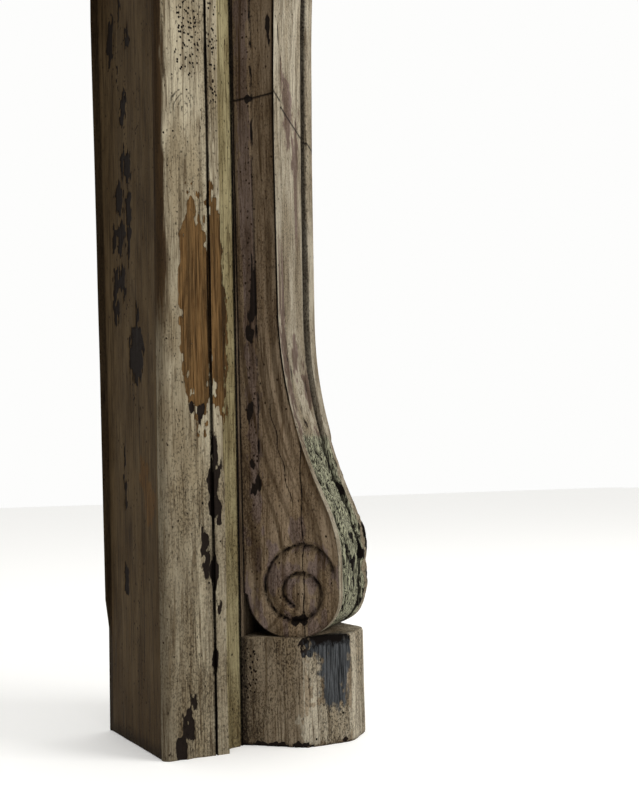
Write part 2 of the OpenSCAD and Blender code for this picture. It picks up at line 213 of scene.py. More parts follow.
# ---- noise: the same each run ----
def lattice(points, seed):
    """Smooth noise from -1 to 1 on a lattice one unit wide."""
    cell = np.floor(points).astype(np.int64)
    f = points - cell
    f = f * f * (3 - 2 * f)
    total = 0
    for corner in range(8):
        step = np.array([corner & 1, corner >> 1 & 1, corner >> 2 & 1])
        c = (cell + step).astype(np.uint64)
        h = c[..., 0] * np.uint64(73856093) ^ c[..., 1] * np.uint64(19349663)
        h = (h ^ c[..., 2] * np.uint64(83492791)) + np.uint64(seed * 2654435761 % 2**32)
        h = (h ^ h >> np.uint64(13)) * np.uint64(1274126177) & np.uint64(0xFFFFFFFF)
        h = (h ^ h >> np.uint64(16)) & np.uint64(0xFFFF)
        weight = np.where(step == 1, f, 1 - f).prod(axis=-1)
        total = total + weight * (h / 32767.5 - 1)
    return total


def grain(points, cell, seed=1, octaves=2):
    """Layered noise; cell is its size along x, y and z in millimetres."""
    total, gain = 0, 1.0
    q = points / np.array(cell, float)
    for k in range(octaves):
        total = total + gain * lattice(q * 2**k, seed + 17 * k)
        gain /= 2
    return total / (2 - 0.5 ** (octaves - 1))


def ramp(x, low, high):
    """A smooth rise from 0 at low to 1 at high, or a fall where high is the smaller."""
    t = np.clip((x - low) / (high - low), 0, 1)
    return t * t * (3 - 2 * t)


def spots(a, b, places, ragged=None):
    """How deep a point lies inside the nearest spot, in millimetres.

    A place is the spot's centre, half width, half height and lean."""
    best = np.full(np.shape(a), -99.0)
    for pa, pb, half_a, half_b, lean in places:
        da, db = a - pa - lean * (b - pb), b - pb
        inside = (1 - np.hypot(da / half_a, db / half_b)) * min(half_a, half_b)
        best = np.maximum(best, inside)
    return best if ragged is None else best + ragged


def scattered(seed, count, a_range, b_range, wide, tall):
    """Places strewn over a zone by a seeded draw; wide and tall are ranges of half sizes."""
    draw = np.random.default_rng(seed)
    return [
        (draw.uniform(*a_range), draw.uniform(*b_range), draw.uniform(*wide), draw.uniform(*tall),
         draw.uniform(-0.2, 0.2))
        for _ in range(count)
    ]


EDGE_REACH = 4.0


def sunk_in(inside):
    """How far a spot's surface has sunk, 0 to 1: all of it just inside the spot's edge."""
    return ramp(inside, -0.5, 0.8)


def on_face(depth):
    """1 on the face of a moulded board and 0 on its hidden back."""
    return ramp(depth, 30, 27)


def as_mask(inside):
    """A distance inside a spot as a value from 0 to 1, with the spot's edge at a half."""
    return np.clip(0.5 + inside / (2 * EDGE_REACH), 0, 1)


# ---- outlines ----
def arc(c, r, a0, a1, n):
    """Points on a round arc of n steps between two angles in degrees."""
    a = np.radians(np.linspace(a0, a1, n + 1))
    return np.array(c) + r * np.stack([np.cos(a), np.sin(a)], axis=-1)


def ellipse(c, rx, ry, a0, a1, n):
    """Points on an elliptical arc, its half widths rx and ry."""
    return np.array(c) + arc((0, 0), 1, a0, a1, n) * (rx, ry)


def softened(outline, radius):
    """A closed outline with its corners rounded, each by its own radius."""
    points, n = [], len(outline)
    for i, (p, r) in enumerate(zip(outline, radius)):
        if r <= 0:
            points.append(p)
            continue
        before, after = outline[i - 1] - p, outline[(i + 1) % n] - p
        reach = min(r, 0.45 * np.linalg.norm(before), 0.45 * np.linalg.norm(after))
        q0 = p + before / np.linalg.norm(before) * reach
        q1 = p + after / np.linalg.norm(after) * reach
        for t in np.linspace(0, 1, 5):
            points.append((1 - t) ** 2 * q0 + 2 * t * (1 - t) * p + t * t * q1)
    return np.array(points)


def stepped(outline, step_at, closed=True):
    """The outline with points added so that no step is longer than step_at allows."""
    points = []
    n = len(outline)
    for i in range(n if closed else n - 1):
        p, q = outline[i], outline[(i + 1) % n]
        steps = max(1, math.ceil(np.linalg.norm(q - p) / step_at((p + q) / 2)))
        points.extend(p + (q - p) * k / steps for k in range(steps))
    if not closed:
        points.append(outline[-1])
    return np.array(points)


def levels(*bands):
    """Heights from bands of (from, to, step)."""
    z = [np.linspace(a, b, max(2, math.ceil((b - a) / s) + 1)) for a, b, s in bands]
    return np.unique(np.round(np.concatenate(z), 4))


# ---- meshes ----
def outward(rings):
    """The normal at each point of a closed tube of rings."""
    along = np.roll(rings, -1, axis=1) - np.roll(rings, 1, axis=1)
    up = np.gradient(rings, axis=0)
    n = np.cross(along, up)
    size = np.linalg.norm(n, axis=-1, keepdims=True)
    x, y = rings[0, :, 0], rings[0, :, 1]
    turn = np.sign((x * np.roll(y, -1) - y * np.roll(x, -1)).sum())
    return turn * n / np.maximum(size, 1e-9)


def make_piece(name, points, faces, marks, node, material):
    """A mesh piece in metres that rides on the body and stands for its CAD node."""
    mesh = bpy.data.meshes.new(name)
    corners = np.array([f for f in faces if len(f) == 4], dtype=np.int64)
    a, b, c, d = (points[corners[:, k]] for k in range(4))
    # a negative volume means that the faces look inward
    volume = (np.cross(a, b) * c).sum() + (np.cross(a, c) * d).sum()
    if volume < 0:
        faces = [f[::-1] for f in faces]
    mesh.from_pydata((points * MM).tolist(), [], faces)
    for mark, values in marks.items():
        layer = mesh.attributes.new(mark, "FLOAT", "POINT")
        layer.data.foreach_set("value", np.asarray(values, np.float32).ravel())
    mesh.validate()
    mesh.shade_smooth()
    mesh.set_sharp_from_angle(angle=math.radians(48))
    mesh.materials.append(material)
    piece = bpy.data.objects.new(name, mesh)
    bpy.context.scene.collection.objects.link(piece)
    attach(piece, BODY)
    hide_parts(node)
    return piece


def tube(name, rings, marks, node, material):
    """A closed tube of rings, capped at both ends."""
    rows, cols = rings.shape[:2]
    i = np.arange(rows * cols).reshape(rows, cols)
    j = np.roll(i, -1, axis=1)
    quads = np.stack([i[:-1], j[:-1], j[1:], i[1:]], axis=-1).reshape(-1, 4).tolist()
    caps = [i[0][::-1].tolist(), i[-1].tolist()]
    return make_piece(name, rings.reshape(-1, 3), quads + caps, marks, node, material)


# what the meshes tell the paint, from 0 to 1 at each point: the second and third coat,
# brown staining with a little painted shade, bare wood, chips, burns, wormholes, dirt together with painted
# shade in grooves, creases and corners and along the foot, torn fibres and pits
MARKS = ("coat2", "coat3", "stain", "bare", "chip", "scorch", "worm", "dirt", "shred", "pitted")


def blank_marks(shape):
    """Every mark at 0."""
    marks = {m: np.zeros(shape) for m in MARKS}
    return SimpleNamespace(**marks)


def place_jamb(local, side):
    """From a jamb's own millimetres, measured from the opening's edge, to the part's."""
    return local * (side, 1, 1) + (side * HALF_OPENING, FACE_Y, 0)


def from_cant(u, v, z):
    """From out along the cant and across it to the jamb's own frame."""
    s = math.sqrt(0.5)
    return np.stack([(u + v) * s, (v - u) * s, z], axis=-1)


def worn_ends(z, low, high, reach=1.6):
    """How much a board's ends are rubbed back, 0 to 1."""
    return np.maximum(1 - (z - low) / reach, 0) + np.maximum(1 - (high - z) / reach, 0)


def swept(loop, z):
    """A board's section carried up its length, a ring at each height."""
    local = np.empty((len(z), len(loop), 3))
    local[..., :2] = loop
    local[..., 2] = z[:, None]
    return local


def finished(style, kind, local, sunk, marks, paint):
    """Sinks the surface of a jamb's piece by its wear, in millimetres, and makes the mesh."""
    local = local - outward(local) * sunk[..., None]
    node = f"{style.name}_{kind}"
    return tube(f"{node}_worn", place_jamb(local, style.side), vars(marks), node, paint_of(paint))


class Style(SimpleNamespace):
    """How finely a jamb is built and which wear it shows."""


RIGHT = Style(name="right", side=1, fine=1.15, row=1.7, seed=3, own_wear=True)
LEFT = Style(name="left", side=-1, fine=2.4, row=4.0, seed=41, own_wear=False)


# ---- materials ----
def add(tree, kind, inputs=(), out=0, **settings):
    """Adds a node with its settings and links, and gives one of its outputs.

    inputs holds values or sockets, in the node's own order or by name or number."""
    node = tree.nodes.new(kind)
    for key, value in settings.items():
        setattr(node, key, value)
    keyed = inputs.items() if isinstance(inputs, dict) else enumerate(inputs)
    for key, source in keyed:
        if isinstance(source, bpy.types.NodeSocket):
            tree.links.new(source, node.inputs[key])
        else:
            node.inputs[key].default_value = source
    return node.outputs[out] if node.outputs else None


NOISE = "ShaderNodeTexNoise"
CELLS = "ShaderNodeTexVoronoi"
RANGE = "ShaderNodeMapRange"
MATH = "ShaderNodeMath"
MIX = "ShaderNodeMix"
AS_COLOUR = {"out": 2, "data_type": "RGBA"}

# each pattern's node, its size across and along the grain in millimetres, and its settings
PATTERNS = {
    # fine grain, 1 mm wide, that telegraphs through the paint
    "fine": (NOISE, 0.9, 26.0, {"Detail": 4.0, "Roughness": 0.62}),
    # bands of grain, 3 to 4 mm wide
    "coarse": (NOISE, 3.4, 75.0, {"Detail": 5.0, "Roughness": 0.62, "Distortion": 0.7}),
    # shading from handling, about 3 cm wide
    "broad": (NOISE, 28.0, 110.0, {"Detail": 4.0, "Roughness": 0.6}),
    # stretches where the fine grain shows, about 1 cm wide
    "patchy": (NOISE, 9.0, 40.0, {"Detail": 3.0, "Roughness": 0.55}),
    # pits and specks, 1.5 mm wide
    "crisp": (NOISE, 1.5, 2.4, {"Detail": 4.0, "Roughness": 0.7}),
    # the ragged edges of chips, in steps of 2 mm
    "edge": (NOISE, 2.2, 5.0, {"Detail": 4.0, "Roughness": 0.65}),
    # open pores and dashes, 1 mm by 3 mm, one to a cell
    "dash": (CELLS, 2.6, 9.0, {}),
    # woodworm's exit holes, 2 mm across, one to a cell
    "hole": (CELLS, 2.9, 3.6, {}),
}
PAINT_ROUGHNESS = 0.75
PAINT_IOR = 1.48
# lowered from the usual 0.5, at which dark paint rendered with a grey veil
PAINT_SPECULAR = 0.04


def solid(rgb, scale=1.0):
    """A colour with its alpha, lighter or darker by scale."""
    return (*(min(1.0, c * scale) for c in rgb), 1.0)


def laid_patterns(tree, level):
    """Every pattern's output; level lays the grain along the wall instead of upright."""
    place = add(tree, "ShaderNodeTexCoord", out="Object")
    laid = {}
    for key, (kind, across, along, own) in PATTERNS.items():
        scale = (1 / across / MM, 1 / across / MM, 1 / along / MM)
        stretch = {"Vector": place, "Scale": scale[::-1] if level else scale}
        stretched = add(tree, "ShaderNodeMapping", stretch)
        laid[key] = add(tree, kind, {"Vector": stretched, "Scale": 1.0, **own})
    return SimpleNamespace(**laid)


def ragged_mask(tree, pattern, mark, soft, spread):
    """A mask with a ragged edge, from a mark whose edge lies at a half."""
    ragged = add(tree, MATH, (pattern.edge, spread, -spread / 2), operation="MULTIPLY_ADD")
    value = add(tree, MATH, (mark, ragged), operation="ADD")
    return add(tree, RANGE, (value, 0.5 - soft, 0.5 + soft))


def fine_damage(tree, pattern, mark, pores):
    """Masks of the specks of dirt in pits, the open pores and the wormholes."""
    pitting = add(tree, MATH, (mark.pitted, 0.13, pattern.crisp), operation="MULTIPLY_ADD")
    pits = add(tree, RANGE, (pitting, 0.59, 0.67))
    pits_in = add(tree, RANGE, (pattern.broad, 0.36, 0.6, 0.35, 1.0))
    specks = add(tree, MATH, (pits, pits_in), operation="MULTIPLY")
    cores = add(tree, RANGE, (pattern.dash, 0.13, 0.2, 1.0, 0.0))
    cores_in = add(tree, RANGE, (pattern.edge, 0.44, 0.54, 0.0, pores))
    dashes = add(tree, MATH, (cores, cores_in), operation="MULTIPLY")
    # wormholes only in the cells that the mark and the cell's own colour choose
    bores = add(tree, RANGE, (pattern.hole, 0.28, 0.37, 1.0, 0.0))
    choice = add(tree, MATH, (mark.worm, pattern.hole.node.outputs["Color"]), operation="ADD")
    chosen = add(tree, RANGE, (choice, 0.86, 0.92))
    holes = add(tree, MATH, (bores, chosen), operation="MULTIPLY")
    return specks, dashes, holes


def colours_beneath(tree, pattern, paint):
    """What shows where the paint is gone: brown stain, torn fibres, bare walnut, charring."""
    brown_ends = {0: pattern.fine, 6: solid(paint.old_wood, 1.2), 7: solid(paint.bare_wood, 0.62)}
    brown = add(tree, MIX, brown_ends, **AS_COLOUR)
    fibres = add(tree, RANGE, (pattern.fine, 0.44, 0.58))
    torn = add(tree, MIX, {0: fibres, 6: solid(paint.dirt, 1.3), 7: solid(paint.fibre)}, **AS_COLOUR)
    # walnut has darker and lighter bands with fine dark lines
    bands = add(tree, RANGE, (pattern.coarse, 0.38, 0.6))
    wood_ends = {0: bands, 6: solid(paint.bare_wood, 0.5), 7: solid(paint.bare_wood, 1.4)}
    wood = add(tree, MIX, wood_ends, **AS_COLOUR)
    lines = add(tree, RANGE, (pattern.fine, 0.36, 0.55, 0.8, 0.0))
    lined_ends = {0: lines, 6: wood, 7: (0.42, 0.34, 0.28, 1)}
    wood = add(tree, MIX, lined_ends, blend_type="MULTIPLY", **AS_COLOUR)
    burns = add(tree, RANGE, (pattern.fine, 0.4, 0.6))
    charred_ends = {0: burns, 6: solid(paint.soot, 0.5), 7: solid(paint.soot, 3.8)}
    charred = add(tree, MIX, charred_ends, **AS_COLOUR)
    return brown, torn, wood, charred


def old_paint(name, coats, level=True, stipple=0.6, streaks=0.75, pores=0.9):
    """Old oil paint on walnut, brushed on in several coats and rubbed by hand.

    It gives the eye grain that telegraphs through, pores and dashes where the paint
    has sunk, and ragged chips down to dark wood. coats are the three paints' colours."""
    paint = bpy.context.scene.mantel_paint
    material = bpy.data.materials.new(name)
    material.use_nodes = True
    tree = material.node_tree
    tree.nodes.clear()
    pattern = laid_patterns(tree, level)
    mark = SimpleNamespace(**{
        key: add(tree, "ShaderNodeAttribute", out="Fac", attribute_name=key) for key in MARKS
    })
    specks, dashes, holes = fine_damage(tree, pattern, mark, pores)
    brown, torn, wood, charred = colours_beneath(tree, pattern, paint)

    # grain: broad shading, raised bands rubbed pale, sunken bands and fine lines left dark
    shading = add(tree, RANGE, (pattern.broad, 0.38, 0.62, 0.0, 0.75))
    raised = add(tree, RANGE, (pattern.coarse, 0.45, 0.66, 0.0, 0.45))
    sunken = add(tree, RANGE, (pattern.coarse, 0.36, 0.5, streaks, 0.0))
    lines = add(tree, RANGE, (pattern.fine, 0.38, 0.54, streaks, 0.0))
    patches = add(tree, RANGE, (pattern.patchy, 0.36, 0.6))
    lined = add(tree, MATH, (lines, patches), operation="MULTIPLY")
    # dirt and stain; the dirt mark also brings painted shade in grooves, creases and corners and along the
    # foot, and the stain mark a little painted shade in the spiral and the channels
    stippled = add(tree, MATH, (specks, stipple), operation="MULTIPLY")
    staining = add(tree, MATH, (mark.stain, pattern.coarse), operation="ADD")
    stained = add(tree, RANGE, (staining, 0.62, 1.15))
    dirt_and_shade_level = add(tree, MATH, (pattern.crisp, 0.5), operation="MULTIPLY")
    dirt_and_shade_level = add(tree, MATH, (mark.dirt, dirt_and_shade_level), operation="ADD")
    darkened = add(tree, RANGE, (dirt_and_shade_level, 0.42, 0.95))
    # lost paint, and the dark rim round a bare patch
    lost = ragged_mask(tree, pattern, mark.chip, 0.025, 0.3)
    bare = ragged_mask(tree, pattern, mark.bare, 0.02, 0.2)
    round_bare = ragged_mask(tree, pattern, mark.bare, 0.10, 0.2)
    rim = add(tree, MATH, (round_bare, bare), operation="SUBTRACT")
    rim = add(tree, MATH, (rim,), operation="ABSOLUTE")
    rimmed = add(tree, MATH, (rim, 0.5), operation="MULTIPLY")

    # what lies over the first coat, from the lowest up: its mask, colour and way to blend
    layers = (
        (ragged_mask(tree, pattern, mark.coat2, 0.10, 0.22), solid(coats[1]), "MIX"),
        (ragged_mask(tree, pattern, mark.coat3, 0.08, 0.22), solid(coats[2]), "MIX"),
        (shading, (0.52, 0.46, 0.38, 1), "MULTIPLY"),
        (raised, (1.8, 1.8, 1.8, 1), "MULTIPLY"),
        (sunken, (0.3, 0.24, 0.18, 1), "MULTIPLY"),
        (lined, (0.26, 0.2, 0.15, 1), "MULTIPLY"),
        (stippled, solid(paint.dirt, 1.6), "MIX"),
        (dashes, solid(paint.dirt), "MIX"),
        (holes, solid(paint.dirt, 0.8), "MIX"),
        (stained, brown, "MIX"),
        (ragged_mask(tree, pattern, mark.shred, 0.12, 0.4), torn, "MIX"),
        (bare, wood, "MIX"),
        (rimmed, solid(paint.dirt, 1.5), "MIX"),
        (lost, solid(paint.old_wood), "MIX"),
        (ragged_mask(tree, pattern, mark.scorch, 0.3, 1.3), charred, "MIX"),
        # dirt together with painted shade, from the dirt mark
        (darkened, solid(paint.dirt, 0.75), "MIX"),
    )
    tone = solid(coats[0])
    for mask, over, blend in layers:
        tone = add(tree, MIX, {0: mask, 6: tone, 7: over}, blend_type=blend, **AS_COLOUR)

    half_fine = add(tree, MATH, (pattern.fine, 0.5), operation="MULTIPLY")
    half_coarse = add(tree, MATH, (pattern.coarse, 0.5), operation="MULTIPLY")
    height = add(tree, MATH, (half_fine, half_coarse), operation="ADD")
    for sunk, depth in ((lost, 1.1), (bare, 0.9), (holes, 1.4), (dashes, 0.6), (specks, 0.35)):
        drop = add(tree, MATH, (sunk, depth), operation="MULTIPLY")
        height = add(tree, MATH, (height, drop), operation="SUBTRACT")
    bump = add(tree, "ShaderNodeBump", {"Height": height, "Strength": 1.0, "Distance": 0.7 * MM})
    ends = (pattern.coarse, 0.3, 0.7, PAINT_ROUGHNESS - 0.1, PAINT_ROUGHNESS + 0.1)
    shader = add(tree, "ShaderNodeBsdfPrincipled", {
        "Base Color": tone, "Roughness": add(tree, RANGE, ends), "Normal": bump,
        "IOR": PAINT_IOR, "Specular IOR Level": PAINT_SPECULAR,
    })
    add(tree, "ShaderNodeOutputMaterial", {"Surface": shader})
    return material


def paint_of(name):
    """Each finish is made once, when a piece first asks for it."""
    if name in bpy.data.materials:
        return bpy.data.materials[name]
    p = bpy.context.scene.mantel_paint
    finishes = {
        # brushed cream, olive in the cove: pale upright grain, freckled with dirt
        "cream_paint_on_walnut": dict(coats=(p.cream, p.olive, p.mauve), level=False),
        # the same paint on frieze and shelf, whose grain runs along the wall
        "cream_paint_on_level_boards": dict(coats=(p.cream, p.olive, p.mauve)),
        # thin brown paint on the lining: dark, quiet and little pitted
        "umber_paint_on_walnut": dict(
            coats=(p.umber, p.mauve, p.bare_wood), level=False, stipple=0.35, streaks=0.62, pores=0.4),
        # rubbed paint on carving: drab sides with purple-grey undercoat, paler front
        "drab_paint_on_carved_walnut": dict(coats=(p.drab, p.mauve, p.pale_cream), level=False),
        # grey-brown paint on the plinths: heavily freckled and knocked
        "stone_paint_on_walnut": dict(
            coats=(p.stone, p.mauve, p.pale_cream), level=False, stipple=0.8, streaks=0.7),
    }
    return old_paint(name, **finishes[name])


# ---- the jamb's boards ----
def architrave_profile(a):
    """The moulding's section: distance from the opening's edge and depth."""
    fillet_end = a.quirk_at + a.quirk_w + a.fillet_w
    cove_w = a.stile_w - fillet_end
    return np.concatenate([
        arc((a.edge_r, a.edge_r), a.edge_r, 180, 270, 6),
        [(a.quirk_at, 0), (a.quirk_at, a.quirk_d)],
        [(a.quirk_at + a.quirk_w, a.quirk_d), (a.quirk_at + a.quirk_w, 0)],
        ellipse((a.stile_w, 0), cove_w, a.cove_d, 180, 90, 10),
        [(a.stile_w, a.ground_d + a.nick), (a.stile_w + a.nick, a.ground_d)],
    ])


def mitre_of(a):
    """Where the boards' mitre meets the face."""
    return a.stile_w + LEDGE_W + a.ground_d


def architrave_wear(m, x, depth, z, p, style, a):
    """Marks of a moulded board: x from the opening's edge, z along the board."""
    front = on_face(depth)
    fillet = a.quirk_at + a.quirk_w
    m.coat2 = as_mask((x - fillet - a.fillet_w + 1.0) * 2 + grain(p, (6, 6, 60), style.seed) * 3)
    m.coat2 *= ramp(depth, 34, 30)
    darkened = 0.12 + 0.68 * ramp(z, 340, 480)
    brushed = x + 6 * grain(p, (3, 3, 40), style.seed + 13, 3)
    m.stain = darkened * ramp(brushed, 11, 4) * front + 0.1 * ramp(z, 300, 120) + 0.1 * ramp(x, 36, 48)
    m.stain += 0.16 * ramp(z, 560, 420) * ramp(x, 34, 22)
    m.pitted = 0.5 * ramp(z, 320, 200) + 0.4 * ramp(np.abs(x - 47), 9, 2) + 0.2
    # dirt and painted shade in the quirk, and painted shade in the nick and step beyond the cove
    quirk = ramp(np.abs(x - a.quirk_at - a.quirk_w / 2), 2.6, 1.0) * ramp(depth, 12, 9)
    broken = 0.62 + 0.5 * grain(p, (4, 4, 45), style.seed + 12)
    m.dirt = np.maximum(quirk * broken, 0.75 * ramp(x, a.stile_w + 0.6, a.stile_w + 2.4))
    m.dirt = np.maximum(m.dirt, 0.6 * darkened * broken * ramp(brushed, 12, 3) * front)


def build_stile(style):
    """The moulded board beside the opening, with bare patches, chips and wormholes."""
    a = sizes("mantel_architrave")
    mitre = mitre_of(a)
    moulding = architrave_profile(a)
    outline = np.concatenate([
        [(a.reveal_t, a.lip_t), (0, a.lip_t)], moulding,
        [(a.stile_w + LEDGE_W, a.ground_d), (mitre - a.board_t, a.board_t), (a.reveal_t, a.board_t)],
    ])
    loop = stepped(outline, lambda q: style.fine if q[1] < a.ground_d + 3 else 8)
    z = levels((0, 6, 0.8), (6, PLAIN_Z, style.row), (PLAIN_Z, SPRING_Z, 5))
    local = swept(loop, z)
    x, depth, high = local[..., 0], local[..., 1], local[..., 2]
    p = place_jamb(local, style.side)
    front = on_face(depth)
    m = blank_marks(x.shape)
    architrave_wear(m, x, depth, high, p, style, a)
    ragged = grain(p, (2.6, 2.6, 8), style.seed + 1, 3) * 6.5
    if style.own_wear:
        wear = sizes("mantel_wear")
        mid, reach = wear.patch_z, wear.patch_h / 2
        face_half = (a.quirk_at - wear.patch_from) / 2
        edge_half = (wear.patch_to - a.quirk_at) / 2
        bare = [(a.quirk_at - face_half + 2, mid, face_half + 2, reach, -0.02),
                (a.quirk_at + edge_half - 2, mid, edge_half, reach * 1.06, -0.04)]
        flake = scattered(style.seed + 14, 5, (30, 41), (mid - 42, mid - 22), (2, 4), (3, 8))
        inside = spots(x, high, bare, ragged) - np.maximum(spots(x, high, flake, ragged * 0.4), 0) * 3
        inside = np.minimum(inside, (x - wear.patch_from + 1) * 0.8)
        beside_quirk = (a.quirk_at + 1, a.quirk_at + 8)
        chips = [
            *scattered(style.seed + 15, 11, beside_quirk, (85, 300), (2, 5), (7, 20)),
            *scattered(style.seed + 16, 3, (37, 43), (150, 200), (2, 4), (7, 15)),
            *scattered(style.seed + 17, 6, (15, 32), (4, 60), (2, 5), (5, 13)),
            *scattered(style.seed + 18, 3, (28, 40), (mid - 105, mid - 85), (2, 3), (4, 8)),
        ]
        worm_reach = wear.worm_h / 2
        worms = [((a.reveal_t + a.quirk_at) / 2 - 4, wear.worm_z, 13, worm_reach, 0),
                 (a.quirk_at + 7, wear.worm_z - 10, 5, worm_reach + 12, 0)]
    else:
        bare = [(30, 150, 14, 60, 0), (60, 560, 10, 40, 0)]
        inside = spots(x, high, bare, ragged)
        chips = scattered(style.seed, 22, (8, 76), (10, 760), (1.5, 4), (5, 20))
        worms = scattered(style.seed + 5, 5, (15, 60), (60, 700), (6, 12), (20, 60))
    m.bare = as_mask(inside) * front
    if style.own_wear:
        knot = np.hypot((x - wear.knot_x) / 9, (high - wear.knot_z) / 13)
        rings = ramp(np.sin(15 * knot + ragged * 0.3), 0.2, 0.9) * ramp(knot, 2.2, 1.2)
        rings = rings * ramp(high, wear.knot_z - 18, wear.knot_z - 4)
        rings = rings * ramp(grain(p, (6, 6, 9), 8), -0.3, 0.1)
        m.dirt = np.maximum(m.dirt, 0.62 * rings * front)
        # painted shade in the cove beside the bare patch
        in_cove = [(wear.patch_to - 6, mid - 18, 5, 0.84 * reach, 0)]
        shadowed = spots(x, high, in_cove, ragged * 0.4)
        m.dirt = np.maximum(m.dirt, 0.42 * ramp(shadowed, -0.5, 1.5))
    lost = spots(x, high, chips, ragged * 0.55)
    m.chip = as_mask(lost) * front
    m.worm = ramp(spots(x, high, worms), -3, 6) * 0.56 * front
    sink = 0.7 * sunk_in(inside) + 0.9 * sunk_in(lost)
    rubbed = 1.5 * worn_ends(high, 0, SPRING_Z) * (0.6 + 0.8 * grain(p, (9, 9, 9), style.seed + 4))
    wave = 0.18 * grain(p, (3, 3, 90), style.seed + 7) + 0.3 * grain(p, (30, 30, 160), style.seed + 9)
    sunk = (sink + np.maximum(rubbed, 0) + 0.45 + wave) * front
    return finished(style, "stile", local, sunk, m, "cream_paint_on_walnut")


def build_reveal(style):
    """The board that lines the opening and flares into a roll along its back edge."""
    a = sizes("mantel_architrave")
    foot_z = PLINTH_H - 8
    # how far the roll stands out, at four heights
    rise_z = (foot_z, foot_z + 38, PLAIN_Z, TOP_Z)
    rise_out = (0.0, a.roll_foot, a.roll_head, a.roll_head)
    flare_w, bead_out = 30, 6
    lower = levels((0, 8, 1.2), (8, foot_z + 40, style.row), (foot_z + 40, PLAIN_Z, style.row + 0.3),
                   (PLAIN_Z, SPRING_Z, 6))
    z = np.concatenate([lower, levels((SPRING_Z, TOP_Z, 8))])
    start = np.where(np.arange(len(z)) < len(lower), a.lip_t, a.board_t)
    face_n = math.ceil((JAMB_D - a.lip_t) / (style.fine * 1.25))
    rings = []
    for height, front in zip(z, start):
        # round the ring: face flaring into the roll, roll, back, inner side, front edge
        out = np.interp(height, rise_z, rise_out)
        flare = max(out - bead_out, 0)
        face = [(-flare * np.clip((y - JAMB_D + a.roll_w + flare_w) / flare_w, 0, 1) ** 2, y)
                for y in np.linspace(front, JAMB_D - a.roll_w, face_n)]
        bead = [(-out * math.sin(math.radians(t)) ** 0.6, JAMB_D - a.roll_w * (1 - t / 180))
                for t in np.linspace(10, 170, 10)]
        back = [(0.0, JAMB_D), (a.reveal_t, JAMB_D), (a.reveal_t, (front + JAMB_D) / 2), (a.reveal_t, front)]
        edge = [(a.reveal_t * 0.5, front), (1.0, front)]
        rings.append([(x, y, height) for x, y in [*face, *bead, *back, *edge]])
    local = np.array(rings)
    x, depth, high = local[..., 0], local[..., 1], local[..., 2]
    p = place_jamb(local, style.side)
    shown = ramp(x, 1.2, 0.6)
    m = blank_marks(x.shape)
    ragged = grain(p, (4, 4, 9), style.seed + 11, 3) * 11
    if style.own_wear:
        wear = sizes("mantel_wear")
        chips = [
            *scattered(style.seed + 61, 14, (82, 128), (wear.chain_low, wear.chain_high), (5, 11), (9, 20)),
            *scattered(style.seed + 62, 6, (78, 138), (wear.chain_high + 50, SPRING_Z - 50), (4, 9), (9, 22)),
            *scattered(style.seed + 63, 3, (75, 105), (PLINTH_H + 30, wear.big_chip_z - 40), (3, 7), (8, 15)),
            (wear.big_chip_y, wear.big_chip_z, 19, 27, 0), (wear.big_chip_y - 4, wear.big_chip_z, 6, 38, 0),
        ]
        rubbed = scattered(style.seed + 64, 4, (25, 60), (230, 310), (8, 22), (12, 32))
    else:
        chips = scattered(style.seed + 2, 24, (20, 145), (20, 760), (3, 10), (6, 22))
        rubbed = scattered(style.seed + 3, 5, (20, 140), (60, 700), (8, 20), (15, 40))
    lost = spots(depth, high, chips, ragged * 0.7)
    m.chip = as_mask(lost) * shown
    brown = spots(depth, high, rubbed, ragged)
    m.coat3 = as_mask(brown - 1.5) * 0.62 * shown
    m.coat2 = 0.3 * ramp(depth, JAMB_D - 16, JAMB_D - 9)
    m.stain = 0.08 + 0.2 * ramp(high, 120, 10) + 0.16 * ramp(depth, JAMB_D - 14, JAMB_D - 8)
    # painted shadow along the foot and in the joint against the stile's lip, and painted shade in the crease
    # before the roll
    m.dirt = 0.5 * ramp(high, 26, 0) + 0.3 * ramp(depth, a.lip_t + 2.2, a.lip_t + 0.6)
    m.dirt = np.maximum(m.dirt, 0.45 * ramp(depth, JAMB_D - a.roll_w - 3, JAMB_D - a.roll_w - 0.5))
    m.worm = 0.14 * ramp(grain(p, (20, 20, 60), style.seed + 6), 0, 0.5) * shown
    sink = 0.9 * sunk_in(lost)
    wave = 0.2 * grain(p, (4, 4, 90), style.seed + 8) + 0.35 * grain(p, (35, 35, 180), style.seed + 10)
    # only the foot is rubbed: the head is hidden
    foot = 1.2 * worn_ends(high, 0, math.inf)
    sunk = (sink + 0.55 + wave + foot) * shown
    return finished(style, "reveal", local, sunk, m, "umber_paint_on_walnut")


